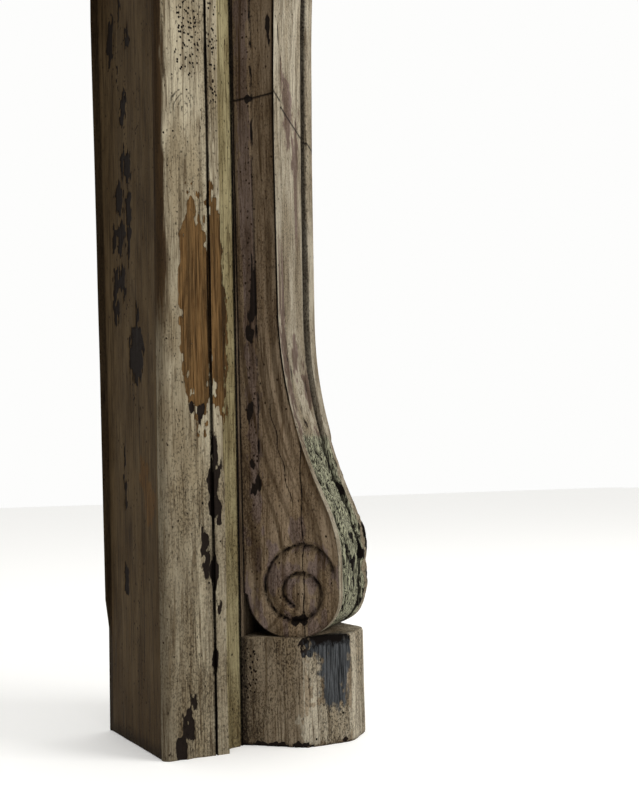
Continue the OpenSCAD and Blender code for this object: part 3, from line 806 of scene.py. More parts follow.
def build_return(style):
    """The outer side board, from the cove back to the wall."""
    a = sizes("mantel_architrave")
    ledge = a.stile_w + LEDGE_W
    cove_w = a.stile_w - (a.quirk_at + a.quirk_w + a.fillet_w)
    mitre = mitre_of(a)
    outline = np.concatenate([
        ellipse((JAMB_W, JAMB_W - a.stile_w), a.cove_d, cove_w, 180, 90, 8),
        [(JAMB_W, JAMB_D), (JAMB_W - a.board_t, JAMB_D), (JAMB_W - a.board_t, JAMB_W + a.board_t - mitre),
         (JAMB_W - a.ground_d, JAMB_W - ledge), (JAMB_W - a.ground_d, JAMB_W - a.stile_w - a.nick),
         (JAMB_W - a.ground_d - a.nick, JAMB_W - a.stile_w)],
    ])
    loop = stepped(outline, lambda q: 2.6 if q[0] > JAMB_W - a.ground_d else 8)
    z = levels((0, 6, 1.5), (6, TOP_Z, 4.5))
    local = swept(loop, z)
    x, depth, high = local[..., 0], local[..., 1], local[..., 2]
    p = place_jamb(local, style.side)
    shown = ramp(x, JAMB_W - a.ground_d - 1, JAMB_W - a.ground_d + 2)
    m = blank_marks(x.shape)
    ragged = grain(p, (7, 7, 12), style.seed + 21, 3) * 4
    chips = scattered(style.seed + 22, 20, (110, 155), (20, 1000), (2, 6), (6, 24))
    lost = spots(depth, high, chips, ragged * 0.6)
    m.chip = as_mask(lost) * shown
    m.coat2 = np.full(x.shape, 0.9)
    m.stain = 0.1 + 0.2 * ramp(high, 150, 10)
    # painted shadow along the foot
    m.dirt = 0.5 * ramp(high, 24, 0)
    wave = 0.5 + 0.3 * grain(p, (30, 30, 160), style.seed + 23)
    sunk = (0.8 * sunk_in(lost) + wave) * shown
    return finished(style, "return", local, sunk, m, "cream_paint_on_walnut")


# ---- the canted plinth and console ----
def axis_of(a, c):
    """Distance of the console's axis from the jamb's corner, across the cant."""
    return mitre_of(a) / math.sqrt(2) + c.console_w / 2


def roots_of(a):
    """Where the console's flat sides start and where its backing board ends."""
    ground_u = (a.stile_w + LEDGE_W - a.ground_d) / math.sqrt(2)
    back_u = (mitre_of(a) - 2 * a.board_t) / math.sqrt(2)
    return ground_u, back_u


def build_plinth(style):
    """The canted block under the scroll; the right one is burnt and chipped."""
    a, c = sizes("mantel_architrave"), sizes("mantel_console")
    ground_u, back_u = roots_of(a)
    half, side_u = c.console_w / 2, c.plinth_u - c.plinth_cant
    flat = half - c.plinth_cant
    outline = np.array([(back_u, -half), (side_u, -half), (c.plinth_u, -flat),
                        (c.plinth_u, flat), (side_u, half), (back_u, half)])
    soft = softened(outline, (0, 3.5, 9, 9, 3.5, 0))
    loop = stepped(soft, lambda q: style.fine * (1.0 if q[0] > ground_u - 4 and q[1] < half - 3 else 3))
    z = levels((0, 3, 0.6), (3, PLINTH_H - 3, style.row * 0.75), (PLINTH_H - 3, PLINTH_H, 0.6))
    shape = (len(z), len(loop))
    u = np.broadcast_to(loop[:, 0], shape)
    w = np.broadcast_to(loop[:, 1], shape)
    high = np.broadcast_to(z[:, None], shape)
    local = from_cant(u, w + axis_of(a, c), high)
    p = place_jamb(local, style.side)
    m = blank_marks(shape)
    # distance along the near cant, from the side's corner
    along = np.where(w < -flat, (w + half) * math.sqrt(2), 99.0)
    along = np.where(u < side_u, u - side_u, along)
    ragged = grain(p, (4, 4, 6), style.seed + 31, 3) * 8
    lost, pale = np.full(shape, -99.0), np.full(shape, -99.0)
    if style.own_wear:
        cant = c.plinth_cant * math.sqrt(2)
        # a star-shaped chip at the corner, one arm after another
        chips = [(4 * math.cos(t), PLINTH_H - 7 + 4 * math.sin(t), 2.5, 6, math.sin(t))
                 for t in np.linspace(0, 2 * math.pi, 6)[:-1]]
        chips.append((cant / 2, PLINTH_H - 3, cant / 2 - 2, 5, 0))
        lost = spots(along, high, chips, ragged * 0.5)
        scorch = [
            (0.58 * cant, PLINTH_H - 8, cant / 2, 13, 0),
            (0.66 * cant, PLINTH_H - 28, 0.3 * cant, 30, 0.1),
            (0.62 * cant, PLINTH_H / 2, 0.25 * cant, 16, 0),
        ]
        burnt = spots(along, high, scorch, ragged)
        burnt = np.where(w < -flat + 3, burnt, -20)
        m.scorch = as_mask(burnt)
        rubbed_pale = [(0.24 * cant, PLINTH_H - 34, 9, 28, -0.1), (cant / 2, PLINTH_H / 5, 0.6 * cant, 20, 0)]
        pale = spots(along, high, rubbed_pale, ragged)
        m.worm = 0.6 * ramp(spots(u, high, [(ground_u + 6, PLINTH_H - 34, 12, 34, 0)]), 0, 5)
        ridge = ramp(np.abs(along + 0.2), 1.6, 0.5) * ramp(high, 84, 78)
        m.coat3 = np.maximum(as_mask(pale), 0.75 * ridge)
    m.coat3 = np.maximum(m.coat3, 0.7 * ramp(w, -flat - 1, -flat + 4) * ramp(u, side_u + 6, c.plinth_u - 4))
    foot_chips = scattered(style.seed + 33, 7, (-60, 50), (0, 3), (3, 9), (2, 4))
    lost = np.maximum(lost, spots(along, high, foot_chips, ragged * 0.5))
    m.chip = as_mask(lost)
    m.coat3 = np.where(np.abs(along) < 98, m.coat3, np.maximum(m.coat3, 0.58))
    # the last term is painted shadow along the foot
    m.stain = (0.1 + 0.1 * ramp(along, -30, -60)) * ramp(w, -flat + 4, -flat - 1) + 0.25 * ramp(high, 6, 0)
    m.pitted = 0.75 + 0.4 * ramp(along, -40, -56)
    # painted shade in the corner against the stile's ground, and painted shadow along the foot
    m.dirt = 0.55 * ramp(u, ground_u + 9, ground_u + 1) + 0.4 * ramp(high, 4, 0)
    if style.own_wear:
        charred = as_mask(spots(along, high, [(cant / 2, PLINTH_H, cant / 2, 8, 0)], ragged * 0.6))
        m.dirt = np.maximum(m.dirt, 0.85 * charred * (w < -flat + 3))
    rubbed = worn_ends(high, 0, PLINTH_H, 2.4) * (1.0 + 0.9 * grain(p, (8, 8, 8), style.seed + 34))
    shown = ramp(u, ground_u - 2, ground_u + 1)
    wave = 0.5 + 0.3 * grain(p, (14, 14, 60), style.seed + 35) + 0.1 * grain(p, (2, 2, 14), style.seed + 36)
    sink = 1.2 * sunk_in(lost)
    sunk = (np.maximum(rubbed, 0) + wave + sink) * shown
    return finished(style, "plinth", local, sunk, m, "stone_paint_on_walnut")


def console_front(c, rows):
    """The console's front outline from the scroll's foot to the head, with its way outward."""
    scroll_z = PLINTH_H + c.scroll_r
    swell_z = scroll_z + c.scroll_rise
    fall = c.scroll_u - c.waist_u
    turn = math.degrees(math.acos(1 - fall / (c.swell_r + c.hollow_r)))
    hollow = (c.waist_u + c.hollow_r, swell_z + (c.swell_r + c.hollow_r) * math.sin(math.radians(turn)))
    head_turn = math.degrees(math.asin((TOP_Z - c.head_z) / c.head_r))
    parts = [
        ((c.scroll_u - c.scroll_r, scroll_z), c.scroll_r, -90, 0, 1),
        ((c.scroll_u - c.swell_r, swell_z), c.swell_r, 0, turn, 1),
        (hollow, c.hollow_r, 180 + turn, 180, -1),
        ((c.waist_u + c.head_r, c.head_z), c.head_r, 180, 180 - head_turn, -1),
    ]
    points, ways = [], []
    for centre, r, a0, a1, way in parts:
        span = abs(math.radians(a1 - a0)) * r
        angle = np.radians(np.linspace(a0, a1, max(3, math.ceil(span / rows))))
        turned = np.stack([np.cos(angle), np.sin(angle)], axis=-1)
        points.append(np.array(centre) + r * turned)
        ways.append(way * turned)
        if r == c.scroll_r:
            rise = np.arange(rows, c.scroll_rise, rows)
            points.append(np.column_stack([np.full(len(rise), c.scroll_u), scroll_z + rise]))
            ways.append(np.tile((1.0, 0.0), (len(rise), 1)))
    points, ways = np.concatenate(points), np.concatenate(ways)
    keep = np.concatenate([[True], np.linalg.norm(np.diff(points, axis=0), axis=1) > 1e-3])
    return points[keep], ways[keep]


def console_half_width(c, z):
    """Half the console's width, which grows from the scroll to the head."""
    swell_z = PLINTH_H + c.scroll_r + c.scroll_rise
    grown = np.clip((z - swell_z) / (c.head_z - swell_z), 0, 1)
    return c.foot_w / 2 + (c.console_w - c.foot_w) / 2 * grown


def spiral_groove(c, u, z):
    """How deep the spiral is cut: a steep outer wall, and a coil that swells inside it."""
    centre = np.array([c.scroll_u - 40, PLINTH_H + c.scroll_r + 2.5])
    angle = np.arange(14.0, 640.0, 3.0)
    radius = c.spiral_r * 0.79 ** ((angle - 90) / 90)
    radius = np.where(angle < 90, c.spiral_r + 1 - 8 * np.clip((67 - angle) / 50, 0, 1) ** 1.3, radius)
    radius = np.maximum(radius, 17.6 - 3 * np.clip((angle - 440) / 190, 0, 1))
    radius = np.where(angle > 560, radius, np.maximum(radius, 17))
    turned = np.radians(angle)
    line = centre + radius[:, None] * np.stack([np.cos(turned), np.sin(turned)], axis=-1)
    fade = ramp(angle, 14, 30) * ramp(angle, 640, 600)
    near, deep = np.full(u.shape, 99.0), np.zeros(u.shape)
    from_eye = np.hypot(u - centre[0], z - centre[1])
    for q, r, strength in zip(line, radius, fade):
        away = np.hypot(u - q[0], z - q[1])
        closer = away < near
        near = np.where(closer, away, near)
        cut = np.where(from_eye > r, ramp(away, 3.2, 0.2), np.clip(1 - away / 11, 0, 1) ** 1.4)
        deep = np.where(closer, strength * cut, deep)
    return deep


def console_rings(style, low_z, high_z):
    """Rings of a console between two heights: side, front, far side and back."""
    c = sizes("mantel_console")
    ground_u, back_u = roots_of(sizes("mantel_architrave"))
    points, ways = console_front(c, 1.05 if style.own_wear else 2.6)
    bend = PLINTH_H + 2.2 * c.scroll_r
    kept, last = [], -99.0
    for i, q in enumerate(points):
        if q[1] < low_z - 1e-6 or q[1] > high_z + 1e-6:
            continue
        turned_in = q[1] < PLINTH_H + 6
        row = style.row * (0.62 if q[1] < bend else 1.15)
        if turned_in or q[1] - last >= row or not kept:
            kept.append(i)
            last = q[1]
    front, way = points[kept], ways[kept]
    ends = [np.interp(v, points[:, 1], points[:, 0]) for v in (low_z, high_z)]
    if front[0, 1] > low_z + 0.05:
        front = np.vstack([(ends[0], low_z), front])
        way = np.vstack([way[0], way])
    if front[-1, 1] < high_z - 0.05:
        front = np.vstack([front, (ends[1], high_z)])
        way = np.vstack([way, way[-1]])
    z = front[:, 1]
    scroll_z = PLINTH_H + c.scroll_r
    rear_c = c.scroll_u - c.scroll_r - c.scroll_flat
    rear = rear_c - np.sqrt(np.maximum(c.scroll_r**2 - np.minimum(z - scroll_z, 0) ** 2, 0))
    root = np.where(z < scroll_z, rear, ground_u + 0 * z)
    half = console_half_width(c, z)
    side_n, front_n = (92, 78) if style.own_wear else (40, 34)
    far_n = 26
    f = np.linspace(0, 1, side_n)[None, :]
    near_side = np.stack([root[:, None] * (1 - f) + front[:, :1] * f,
                          np.broadcast_to(-half[:, None], (len(z), side_n)),
                          np.broadcast_to(z[:, None], (len(z), side_n))], axis=-1)
    # across the front the points gather at the rims' edges
    marks_w = np.array([-1, -0.985, -0.63, -0.6, -0.49, -0.46, 0.46, 0.49, 0.6, 0.63, 0.985, 1])
    spread = np.interp(np.linspace(0, 1, front_n), np.linspace(0, 1, 12),
                       marks_w) * 0.35 + np.linspace(-1, 1, front_n) * 0.65
    across = spread[None, :] * half[:, None]
    band = np.stack([np.broadcast_to(front[:, :1], across.shape), across,
                     np.broadcast_to(z[:, None], across.shape)], axis=-1)
    # the far side, which shows least, mirrors the near one with fewer points
    far_side = near_side[:, ::-1][:, np.linspace(0, side_n - 1, far_n).astype(int)] * (1, -1, 1)
    return SimpleNamespace(
        z=z, half=half, root=root, way=way, near=near_side, band=band, far=far_side, across=across,
        ground_u=ground_u, back_u=back_u,
        edge_gap=front[:, :1] - near_side[..., 0], root_gap=near_side[..., 0] - root[:, None],
    )


def band_depth(c, w, half, open_out):
    """How far the front lies inside the outline: rims, channels and the middle band."""
    from_rim = half - np.abs(w)
    channel = ramp(from_rim, c.rim_w - 1.2, c.rim_w + 1.2)
    beyond = ramp(from_rim, c.rim_w + c.channel_w - 1.4, c.rim_w + c.channel_w + 1.0)
    return (c.channel_d * channel * (1 - beyond) + c.band_drop * beyond) * open_out


def side_relief(c, r):
    """How deep the near side is carved, and its spiral alone from 0 to 1."""
    u, z = r.near[..., 0], r.near[..., 2]
    # a sunk panel above, the spiral below
    panel = ramp(r.root_gap, 16.5, 19) * ramp(r.edge_gap, 1.2, 2.6) * ramp(z, 270, 330)
    spiral = spiral_groove(c, u, z)
    return c.panel_d * panel + 1.4 * c.spiral_d * spiral, spiral


def front_relief(style, c, r):
    """How deep the front is carved, with the masks of its leaf and its damage."""
    w, half, z = r.across, r.half[:, None], r.z[:, None]
    z_wide = np.broadcast_to(z, w.shape)
    open_out = ramp(z, PLINTH_H + 1.0, PLINTH_H + 14)
    deep = band_depth(c, w, half, open_out)

    # the leaf: four lobes a side, a crown, veins and a midrib
    leaf_w = c.foot_w / 2 - c.rim_w - 2
    drop = np.clip((c.leaf_z - z) / (c.leaf_z - PLINTH_H - 20), 0, 1)
    lobes = 0.86 + 0.14 * np.abs(np.cos(np.pi * 4 * drop))
    leaf_half = leaf_w * np.sin(np.pi / 2 * np.minimum(1, 0.08 + drop * 1.25)) ** 0.8 * lobes
    t = w / leaf_half
    leaf_on = ramp(np.abs(t), 1.02, 0.93) * ramp(z, c.leaf_z + 4, c.leaf_z - 6)
    crown = c.leaf_t * np.sqrt(np.maximum(0, 1 - np.minimum(t * t, 1))) * (0.75 + 0.25 * drop)
    veins = 0.8 * np.cos(np.pi * 8 * (drop - 0.12 * np.abs(t)) * 2) - 2 * np.exp(-((t / 0.12) ** 2))

    # the foot's surface is torn into fibres, less so on the left console
    fibre = grain(np.stack([w, 0 * w, z_wide + 0.6 * w], -1), (4.2, 1, 15), style.seed + 51, 3)
    shred = ramp(z, 300, 262) * ramp(z, PLINTH_H + 8, PLINTH_H + 30)
    shred = shred * ramp(w, -half + 13, -half + 19) * (1.0 if style.own_wear else 0.45)
    tears = ramp(fibre, -0.06, -0.3)
    leaf_deep = c.channel_d - 1 - crown - veins + 4.6 * tears * shred
    deep = deep * (1 - leaf_on * open_out) + np.maximum(leaf_deep, 0.4) * leaf_on * open_out
    deep = deep + shred * (2.2 + 4.2 * fibre) * (1 - 0.25 * leaf_on)

    # the crevice that wanders beside the near rim
    wander = 12 * np.sin(z / 23) + 2.4 * np.sin(z / 3.7 + 1)
    crevice = ramp(np.abs(w - (-0.45 * half + wander)), 4.0, 1.0) * ramp(z, 306, 280)
    crevice = crevice * ramp(z, PLINTH_H + 10, PLINTH_H + 24) * (1.0 if style.own_wear else 0.3)
    deep = deep + 4.5 * crevice
    worn = 0.3 + 0.25 * grain(np.stack([w, 0 * w, z_wide], -1), (14, 1, 60), style.seed + 52)
    return SimpleNamespace(deep=deep + worn, leaf_on=leaf_on, tears=tears, shred=shred, crevice=crevice)


def console_back(c, r):
    """The rings' last points: the backing board, open behind the scroll's foot but for a thin web."""
    skin, web_half = 0.4, 0.3
    web = np.where(r.z < PLINTH_H + c.scroll_r - 0.01, web_half, r.half - skin)
    full = c.console_w / 2 - skin
    right_half = [(r.root, web), (r.ground_u, web), (r.ground_u, full), (r.back_u, full)]
    left_half = [(u, -w_at) for u, w_at in reversed(right_half)]
    return np.stack([
        np.stack(np.broadcast_arrays(u, w_at, r.z), -1)
        for u, w_at in [*right_half, (r.back_u, 0.0), *left_half]
    ], axis=1)


def grafted(c, ring, part, low_z, high_z):
    """The rings near the graft sheared, so that they lie on its sloping joint."""
    fall, rise = math.tan(math.radians(13.5)), math.tan(math.radians(7.4))
    slope = rise * (ring[..., 0] - c.waist_u) - fall * (ring[..., 1] + c.console_w / 2)
    if part == "lower":
        ring[..., 2] += slope * ramp(ring[..., 2], high_z - 90, high_z)
    if part == "upper":
        ring[..., 2] += slope * ramp(ring[..., 2], low_z + 90, low_z)
    return ring


def mark_side(style, c, r, m, u, z, ragged, spiral, blotches, seam):
    """Marks of the near side. m holds each mark's columns there, to be filled."""
    gap, back_gap = r.edge_gap[:, :-1], r.root_gap[:, :-1]
    mauve = as_mask(5.5 - np.abs(back_gap - 13 + 0.01 * (z - 400)) + ragged)
    blotched = as_mask(blotches * 14 + ragged * 0.3 - 1)
    m.coat2[:] = np.maximum(mauve * ramp(z, 180, 230), blotched * ramp(z, 240, 190))

    # dirt beside the panel, along the glue line and in the crack; painted shadow along the arris, and painted
    # shade in the spiral's groove and in the corner at the side's root
    line = ramp(np.abs(back_gap - 18.5), 1.8, 0.5) * ramp(z, 215, 240)
    beside_panel = 0.8 * line * (0.6 + 0.5 * ragged / 3)
    glue_u = 104
    glue = ramp(np.abs(u - glue_u - 0.6 * np.sin(z / 7)), 1.0, 0.4) * ramp(z, 292, 286)
    wear = sizes("mantel_wear")
    crack_u = wear.crack_u + (wear.crack_z - z) * 0.22 + 1.2 * np.sin(z / 5)
    crack = ramp(np.abs(u - crack_u), 0.9, 0.35) * ramp(z, wear.crack_z + 40, wear.crack_z + 20)
    crack = crack * ramp(z, 215, 228)
    shade = ramp(gap, 4.6, 1.4) * ramp(z, 285, 345)
    spiral_shade = (0.62 + 0.1 * ragged) * ramp(spiral, 0.45, 1.0)
    corner_shade = 0.7 * ramp(back_gap, 3.0, 0.6)
    dirt = np.maximum.reduce([beside_panel, 0.75 * glue, 0.7 * crack, 0.95 * shade, spiral_shade, corner_shade])
    m.dirt[:] = np.maximum(dirt, seam)

    if style.own_wear:
        chips = [
            *scattered(style.seed + 65, 6, (55, 65), (215, 440), (2, 4), (4, 13)),
            *scattered(style.seed + 66, 3, (70, 112), (PLINTH_H + 8, PLINTH_H + 20), (3, 5), (3, 5)),
            *scattered(style.seed + 67, 2, (79, 84), (660, 690), (1.5, 3), (5, 9)),
            (c.waist_u - 27, c.graft_z - 5, 4, 4, 0),
        ]
    else:
        chips = scattered(style.seed + 55, 12, (50, 110), (130, 900), (2, 4), (4, 14))
    m.chip[:] = as_mask(spots(u, z, chips, ragged * 0.4))
    m.pitted[:] = 0.6 + 0.5 * ramp(back_gap, 18, 8) * ramp(z, 330, 200) + 0.1 * ramp(z, 190, 150)
    glued = as_mask((u - glue_u) * 2 + ragged) * ramp(z, 300, 285)
    stain = 0.12 + 0.12 * ramp(u, 92, 75) * ramp(z, 330, 230) + 0.14 * ramp(z, 200, 330)
    stain = stain + 0.15 * ramp(z, 380, 520) + 0.16 * glued
    # dark streaks that follow the front's outline
    across = np.stack([r.edge_gap, 0 * r.edge_gap, r.near[..., 2]], -1)
    flow = grain(across, (5, 1, 170), style.seed + 57, 3)[:, :-1]
    # the spiral's term is painted shade in its groove; the streaks are grain
    m.stain[:] = stain + (0.08 * spiral + 0.24 * ramp(flow, 0.0, 0.4))
    m.worm[:] = 0.26 * ramp(back_gap, 22, 15) * ramp(back_gap, 8, 14)


def mark_front(style, c, r, m, w, z, ragged, carved, seam):
    """Marks of the front. m holds each mark's columns there, to be filled."""
    half = r.half[:, None]
    purple = [
        *scattered(style.seed + 68, 4, (-18, 18), (470, 730), (5, 15), (20, 42)),
        *scattered(style.seed + 69, 3, (-20, 20), (285, 430), (8, 16), (18, 30)),
        (8 - c.foot_w / 2, c.leaf_z + 20, 8, 80, 0),
    ]
    tint = as_mask(spots(w, z, purple, ragged * 1.8) + (0 if style.own_wear else -6))
    m.coat2[:], m.coat3[:] = tint, 1 - tint
    from_rim = half - np.abs(r.across)
    channel_end = c.rim_w + c.channel_w
    # painted shade on the walls of the channels beside the rims
    channel_wall_shade = ramp(from_rim, c.rim_w - 2.4, c.rim_w - 0.4) * ramp(from_rim, channel_end + 1.2, channel_end - 1)
    channel_wall_shade = channel_wall_shade * (1 - carved.leaf_on)
    torn = 0.95 * carved.tears * carved.shred
    # painted shade on the channels' walls, in the crevice and between the torn fibres; the seam is the
    # graft's dark joint
    m.dirt[:] = np.maximum.reduce([0.62 * channel_wall_shade, 0.95 * carved.crevice, torn, seam + 0 * w])
    m.pitted[:] = 0.55
    # the channels' walls also get painted shade in the stain mark
    stain = 0.14 * ramp(z, 640, 480) + 0.3 * tint + 0.06 + 0.18 * channel_wall_shade
    m.stain[:] = stain + 0.1 * ramp(np.abs(w + half), 2.4, 0.4)
    m.shred[:] = 0.9 * ramp(r.z, 305, 275)[:, None] * ramp(from_rim, 8, 15)
    dashes = scattered(style.seed + 56, 26, (-48, 48), (300, 1000), (0.7, 1.6), (4, 14))
    m.chip[:] = as_mask(spots(w, z, dashes, ragged * 0.3))


def build_console(style, part, node, low_z, high_z):
    """One console, or one part of it, between two heights."""
    c = sizes("mantel_console")
    r = console_rings(style, low_z, high_z)
    side_deep, spiral = side_relief(c, r)
    carved = front_relief(style, c, r)

    way_out = np.stack([r.way[:, 0], 0 * r.z, r.way[:, 1]], axis=-1)[:, None, :]
    band = r.band - way_out * carved.deep[..., None]
    near = r.near.copy()
    near[..., 1] += side_deep + (0.4 + 0.25 * grain(r.near, (18, 1, 90), style.seed + 53))
    far = r.far.copy()
    pick = np.linspace(0, near.shape[1] - 1, far.shape[1]).astype(int)[::-1]
    far[..., 1] -= side_deep[:, pick] + 0.4
    # the sides' last points follow the worn front
    near[:, -1, 0] = band[:, 0, 0]
    near[:, -1, 2] = band[:, 0, 2]
    ring = np.concatenate([near[:, :-1], band, far[:, 1:], console_back(c, r)], axis=1)
    ring = grafted(c, ring, part, low_z, high_z)
    across = ring[..., 1] + axis_of(sizes("mantel_architrave"), c)
    p = place_jamb(from_cant(ring[..., 0], across, ring[..., 2]), style.side)

    # the ring's columns: near side, front, far side, then the back
    band_from = near.shape[1] - 1
    far_from = band_from + band.shape[1]
    back_from = far_from + far.shape[1] - 1
    on_side, on_band = slice(0, band_from), slice(band_from, far_from)
    m = blank_marks(ring.shape[:2])
    side_marks, band_marks = (
        SimpleNamespace(**{key: values[:, part_of] for key, values in vars(m).items()})
        for part_of in (on_side, on_band)
    )
    ragged = grain(p, (3, 3, 9), style.seed + 54, 3) * 6
    blotches = grain(p, (9, 9, 22), style.seed + 58, 3)[:, on_side]
    # only the right console has the graft's seam
    seam = ramp(np.abs(r.z - c.graft_z), 1.6, 0.4)[:, None] * (0.7 if style.own_wear else 0)
    mark_side(style, c, r, side_marks, ring[:, on_side, 0], ring[:, on_side, 2], ragged[:, on_side],
              spiral[:, :-1], blotches, seam)
    mark_front(style, c, r, band_marks, ring[:, on_band, 1], ring[:, on_band, 2], ragged[:, on_band],
               carved, seam)
    m.coat2[:, far_from:back_from] = 0.2
    m.stain[:, far_from:back_from] = 0.12
    m.dirt[:, back_from:] = 0.5
    return tube(f"{style.name}_console_{part}_carved", p, vars(m), node,
                paint_of("drab_paint_on_carved_walnut"))


# ---- frieze and shelf ----
def frieze_edge(f):
    """Stations along the frieze's lower edge, each with its way out of the opening."""
    dip_turn, arch_turn = 25, 20
    corner = np.array([HALF_OPENING - f.corner_r, SPRING_Z])
    dip = corner + (f.corner_r + f.dip_r) * np.array(
        [-math.sin(math.radians(dip_turn)), math.cos(math.radians(dip_turn))])
    arch_r = dip[0] / math.sin(math.radians(arch_turn)) - f.dip_r
    arch_c = dip - (f.dip_r + arch_r) * np.array(
        [math.sin(math.radians(arch_turn)), math.cos(math.radians(arch_turn))])
    parts = [(corner, f.corner_r, 0, 90 + dip_turn, 1), (dip, f.dip_r, 270 + dip_turn, 270 - arch_turn, -1),
             (arch_c, arch_r, 90 - arch_turn, 90, 1)]
    places, ways = [], []
    for centre, r, a0, a1, way in parts:
        n = max(3, math.ceil(abs(math.radians(a1 - a0)) * r / 5.0))
        angle = np.radians(np.linspace(a0, a1, n + 1))[1 if places else 0 :]
        turned = np.stack([np.cos(angle), np.sin(angle)], axis=-1)
        places.append(centre + r * turned)
        ways.append(way * turned)
    places, ways = np.concatenate(places), np.concatenate(ways)
    flip = np.array([-1, 1])
    return (np.concatenate([places, (places * flip)[:-1][::-1]]),
            np.concatenate([ways, (ways * flip)[:-1][::-1]]))


def frieze_reach(place, way, limit_x, depth):
    """How far the frieze runs from a station, to its mitre or its top."""
    limits = [math.inf]
    if abs(way[0]) > 1e-3:
        limits.append((limit_x - depth - abs(place[0])) / abs(way[0]))
    if way[1] > 1e-3:
        limits.append((TOP_Z - place[1]) / way[1])
    return min(limits)


def build_frieze():
    """The board above the opening, with the moulding along its lower edge."""
    a, f = sizes("mantel_architrave"), sizes("mantel_frieze")
    limit_x = HALF_OPENING + mitre_of(a)
    places, ways = frieze_edge(f)
    section = stepped(architrave_profile(a), lambda q: 2.6, closed=False)
    field = 26
    rings = []
    for place, way in zip(places, ways):
        far = frieze_reach(place, way, limit_x, a.ground_d)
        back = frieze_reach(place, way, limit_x, a.board_t)
        ground = np.linspace(section[-1][0], far, field + 1)[1:]
        front = [(d, y) for d, y in section] + [(d, a.ground_d) for d in ground]
        ring = front + [(back, a.board_t), (0, a.board_t)]
        rings.append([(place[0] + d * way[0], y, place[1] + d * way[1]) for d, y in ring])
    local = np.array(rings)
    dist = np.concatenate([section[:, 0], np.full(field + 2, a.stile_w + 30)])
    x = np.broadcast_to(dist, local.shape[:2])
    depth = local[..., 1]
    p = local + (0, FACE_Y, 0)
    m = blank_marks(x.shape)
    ragged = grain(p, (9, 5, 9), 61, 3) * 4
    chips = scattered(62, 34, (-560, 560), (800, 1030), (3, 12), (2, 6))
    worn = spots(p[..., 0], p[..., 2], chips, ragged * 0.7)
    front = on_face(depth)
    m.coat2 = as_mask((x - a.stile_w + 18) * 2) * ramp(x, a.stile_w + 20, a.stile_w + 2)
    # dirt and painted shade in the quirk, painted shade in the step beyond the cove, and painted shade under
    # the shelf along the top
    quirk = ramp(np.abs(x - a.quirk_at - a.quirk_w / 2), 2.6, 1.0)
    m.dirt = np.maximum(0.85 * quirk, 0.6 * ramp(np.abs(x - a.stile_w - 1), 4, 1)) * front
    m.dirt = np.maximum(m.dirt, 0.6 * ramp(p[..., 2], TOP_Z - 8, TOP_Z - 1))
    m.chip = as_mask(worn) * front
    m.stain = 0.14 + 0.1 * ramp(x, 16, 6)
    m.worm = 0.3 * ramp(grain(p, (60, 20, 30), 63), 0.2, 0.6)
    sink = (0.8 * sunk_in(worn) + 0.4 + 0.3 * grain(p, (160, 30, 30), 64)) * front
    local[..., 1] += sink
    return tube("frieze_worn", local + (0, FACE_Y, 0), vars(m), "frieze",
                paint_of("cream_paint_on_level_boards"))


def shelf_front_line(f, inset):
    """The right half of the shelf's serpentine front, lying inset inside its edge."""
    bow = np.array([0, f.bow_r - f.shelf_front])
    nose = np.array([HALF_SHELF - f.nose_r, f.nose_r + f.nose_back - f.shelf_front])
    bow_reach, nose_reach = f.bow_r + f.sweep_r, f.nose_r + f.sweep_r
    apart = np.linalg.norm(nose - bow)
    along = (bow_reach**2 - nose_reach**2 + apart**2) / (2 * apart)
    aside = math.sqrt(bow_reach**2 - along**2)
    way = (nose - bow) / apart
    sweep = bow + along * way + aside * np.array([way[1], -way[0]])
    bow_turn = math.degrees(math.atan2(sweep[1] - bow[1], sweep[0] - bow[0]))
    nose_turn = math.degrees(math.atan2(sweep[1] - nose[1], sweep[0] - nose[0]))
    return np.concatenate([
        arc(bow, f.bow_r - inset, -90, bow_turn, 60),
        arc(sweep, f.sweep_r + inset, bow_turn + 180, nose_turn + 180, 80)[1:],
        arc(nose, f.nose_r - inset, nose_turn, 0, 46)[1:],
    ])


